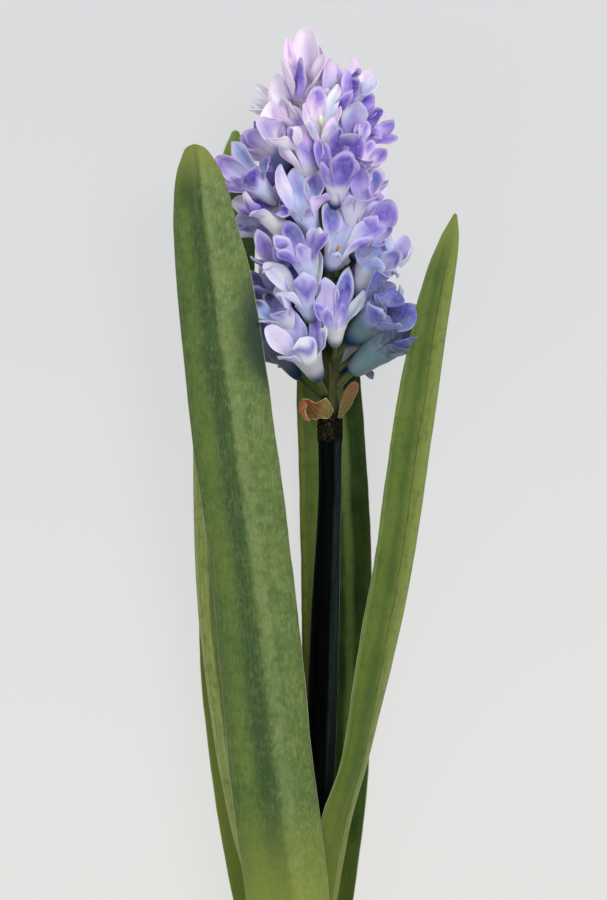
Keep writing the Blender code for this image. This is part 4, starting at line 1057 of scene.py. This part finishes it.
def makePistil(number, tone, length, radius):
    # a rod with a rounded knob: rings round the tube's own axis, closed at both ends
    base, mouth = (np.array(end) for end in florets[number][:2])
    axis = unit(mouth - base)
    side = unit(np.cross([0, 1, 0], axis))
    rows, columns, below = (pistilShape[key] for key in ("rows", "columns", "below"))
    steps = np.linspace(0, 1, rows)
    profile = smoothBetween(pistilShape["profile"], steps)[:, 0] * radius
    profile[[0, -1]] = 0
    angle = np.linspace(0, 2 * math.pi, columns, endpoint=False)[:, None]
    ring = np.cos(angle) * side + np.sin(angle) * np.cross(axis, side)
    line = mouth + axis * (steps[:, None] * (length + below) - below)
    points = line[:, None] + ring[None] * profile[:, None, None]
    look = Finish(f"pistil_{number:02d}", Base_Color=(*linear(*tone), 1), Roughness=0.5)
    faces = gridFaces(rows, columns, closed=True)
    piece = buildPiece(f"floret_{number:02d}_pistil", points, faces, look.material)
    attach(piece, "root")


petal = makePetalMaterial()
for number in sorted(florets):
    makeFloret(number, florets[number], petal)
for number, row in pistils.items():
    makePistil(number, *row)
print("florets made:", len(florets))


# the floor, the light and the camera

studio = {
    "floorSize": 6.0,
    "floorTones": ((219, 220, 222), (230, 229, 227)),     # towards the tip and towards the foot
    "floorLit": 0.12,         # the share of the floor's tone that the lamps light
    "floorGlow": 0.865,       # and the share that glows by itself, as on a light table, washing out the shadows on the floor
    "worldTone": (227, 227, 229),
    "worldStrength": 0.66,
    "lamps": {                # place, size, power and tone
        "key": ((0.45, 0.45, 1.05), 0.6, 9.5, (1.0, 0.985, 0.96)),
        "fill": ((-0.9, -0.1, 0.9), 0.8, 3.0, (0.95, 0.97, 1.0)),
    },
    "lampAim": (0, 0.02, 0.02),
    "cameraHeight": 1.2,      # above the spike's middle plane
    "planeHeight": 0.034,
    "viewHeight": 0.306,      # how much of that plane the frame holds, top to bottom
    "aim": (-0.004012, 0.02482),
    "sensor": 36.0,
}


def addObject(name, data, location):
    made = bpy.data.objects.new(name, data)
    made.location = location
    bpy.context.scene.collection.objects.link(made)
    return made


def makeFloor():
    # one square, a hair below the object's lowest point
    size = studio["floorSize"] / 2
    data = bpy.data.meshes.new("floor")
    corners = [(-size, -size, 0), (size, -size, 0), (size, size, 0), (-size, size, 0)]
    data.from_pydata(corners, [], [(0, 1, 2, 3)])
    look = Finish("floor_pale", Roughness=0.9, Specular_IOR_Level=0.1, Emission_Strength=studio["floorGlow"])
    height = look.add("SeparateXYZ", {0: look.place}).outputs[1]
    colour = look.mix(look.span(height, 0.18, -0.16), *studio["floorTones"])
    lit = look.add("VectorMath", {0: colour, 1: (studio["floorLit"],) * 3}, operation="MULTIPLY").outputs[0]
    look.tree.links.new(lit, look.shader.inputs["Base Color"])
    look.tree.links.new(colour, look.shader.inputs["Emission Color"])
    data.materials.append(look.material)
    addObject("floor", data, (0, 0, float(cadLow[2]) - 0.0002))


def makeLamp(name, where, size, power, tone):
    # a round soft lamp, turned towards the middle of the plant
    lamp = bpy.data.lights.new(name, "AREA")
    lamp.shape, lamp.size, lamp.energy, lamp.color = "DISK", size, power, tone
    aim = Vector(studio["lampAim"]) - Vector(where)
    addObject(name, lamp, where).rotation_euler = aim.to_track_quat("-Z", "Y").to_euler()


def makeCamera():
    # the lens is sensor * height / view height, so that the frame holds just that much of the plane
    data = bpy.data.cameras.new("camera")
    data.sensor_fit, data.sensor_width = "AUTO", studio["sensor"]
    data.lens = studio["sensor"] * studio["cameraHeight"] / studio["viewHeight"]
    data.clip_start, data.clip_end = 0.05, 20
    height = studio["planeHeight"] + studio["cameraHeight"]
    bpy.context.scene.camera = addObject("camera", data, (*studio["aim"], height))


def makeWorld():
    world = bpy.data.worlds.new("studio")
    world.use_nodes = True
    background = world.node_tree.nodes["Background"]
    background.inputs["Color"].default_value = (*linear(*studio["worldTone"]), 1)
    background.inputs["Strength"].default_value = studio["worldStrength"]
    bpy.context.scene.world = world
    bpy.context.scene.view_settings.view_transform = "Standard"


makeFloor()
makeWorld()
for name, row in studio["lamps"].items():
    makeLamp(name, *row)
makeCamera()
print("floor, light and camera made")
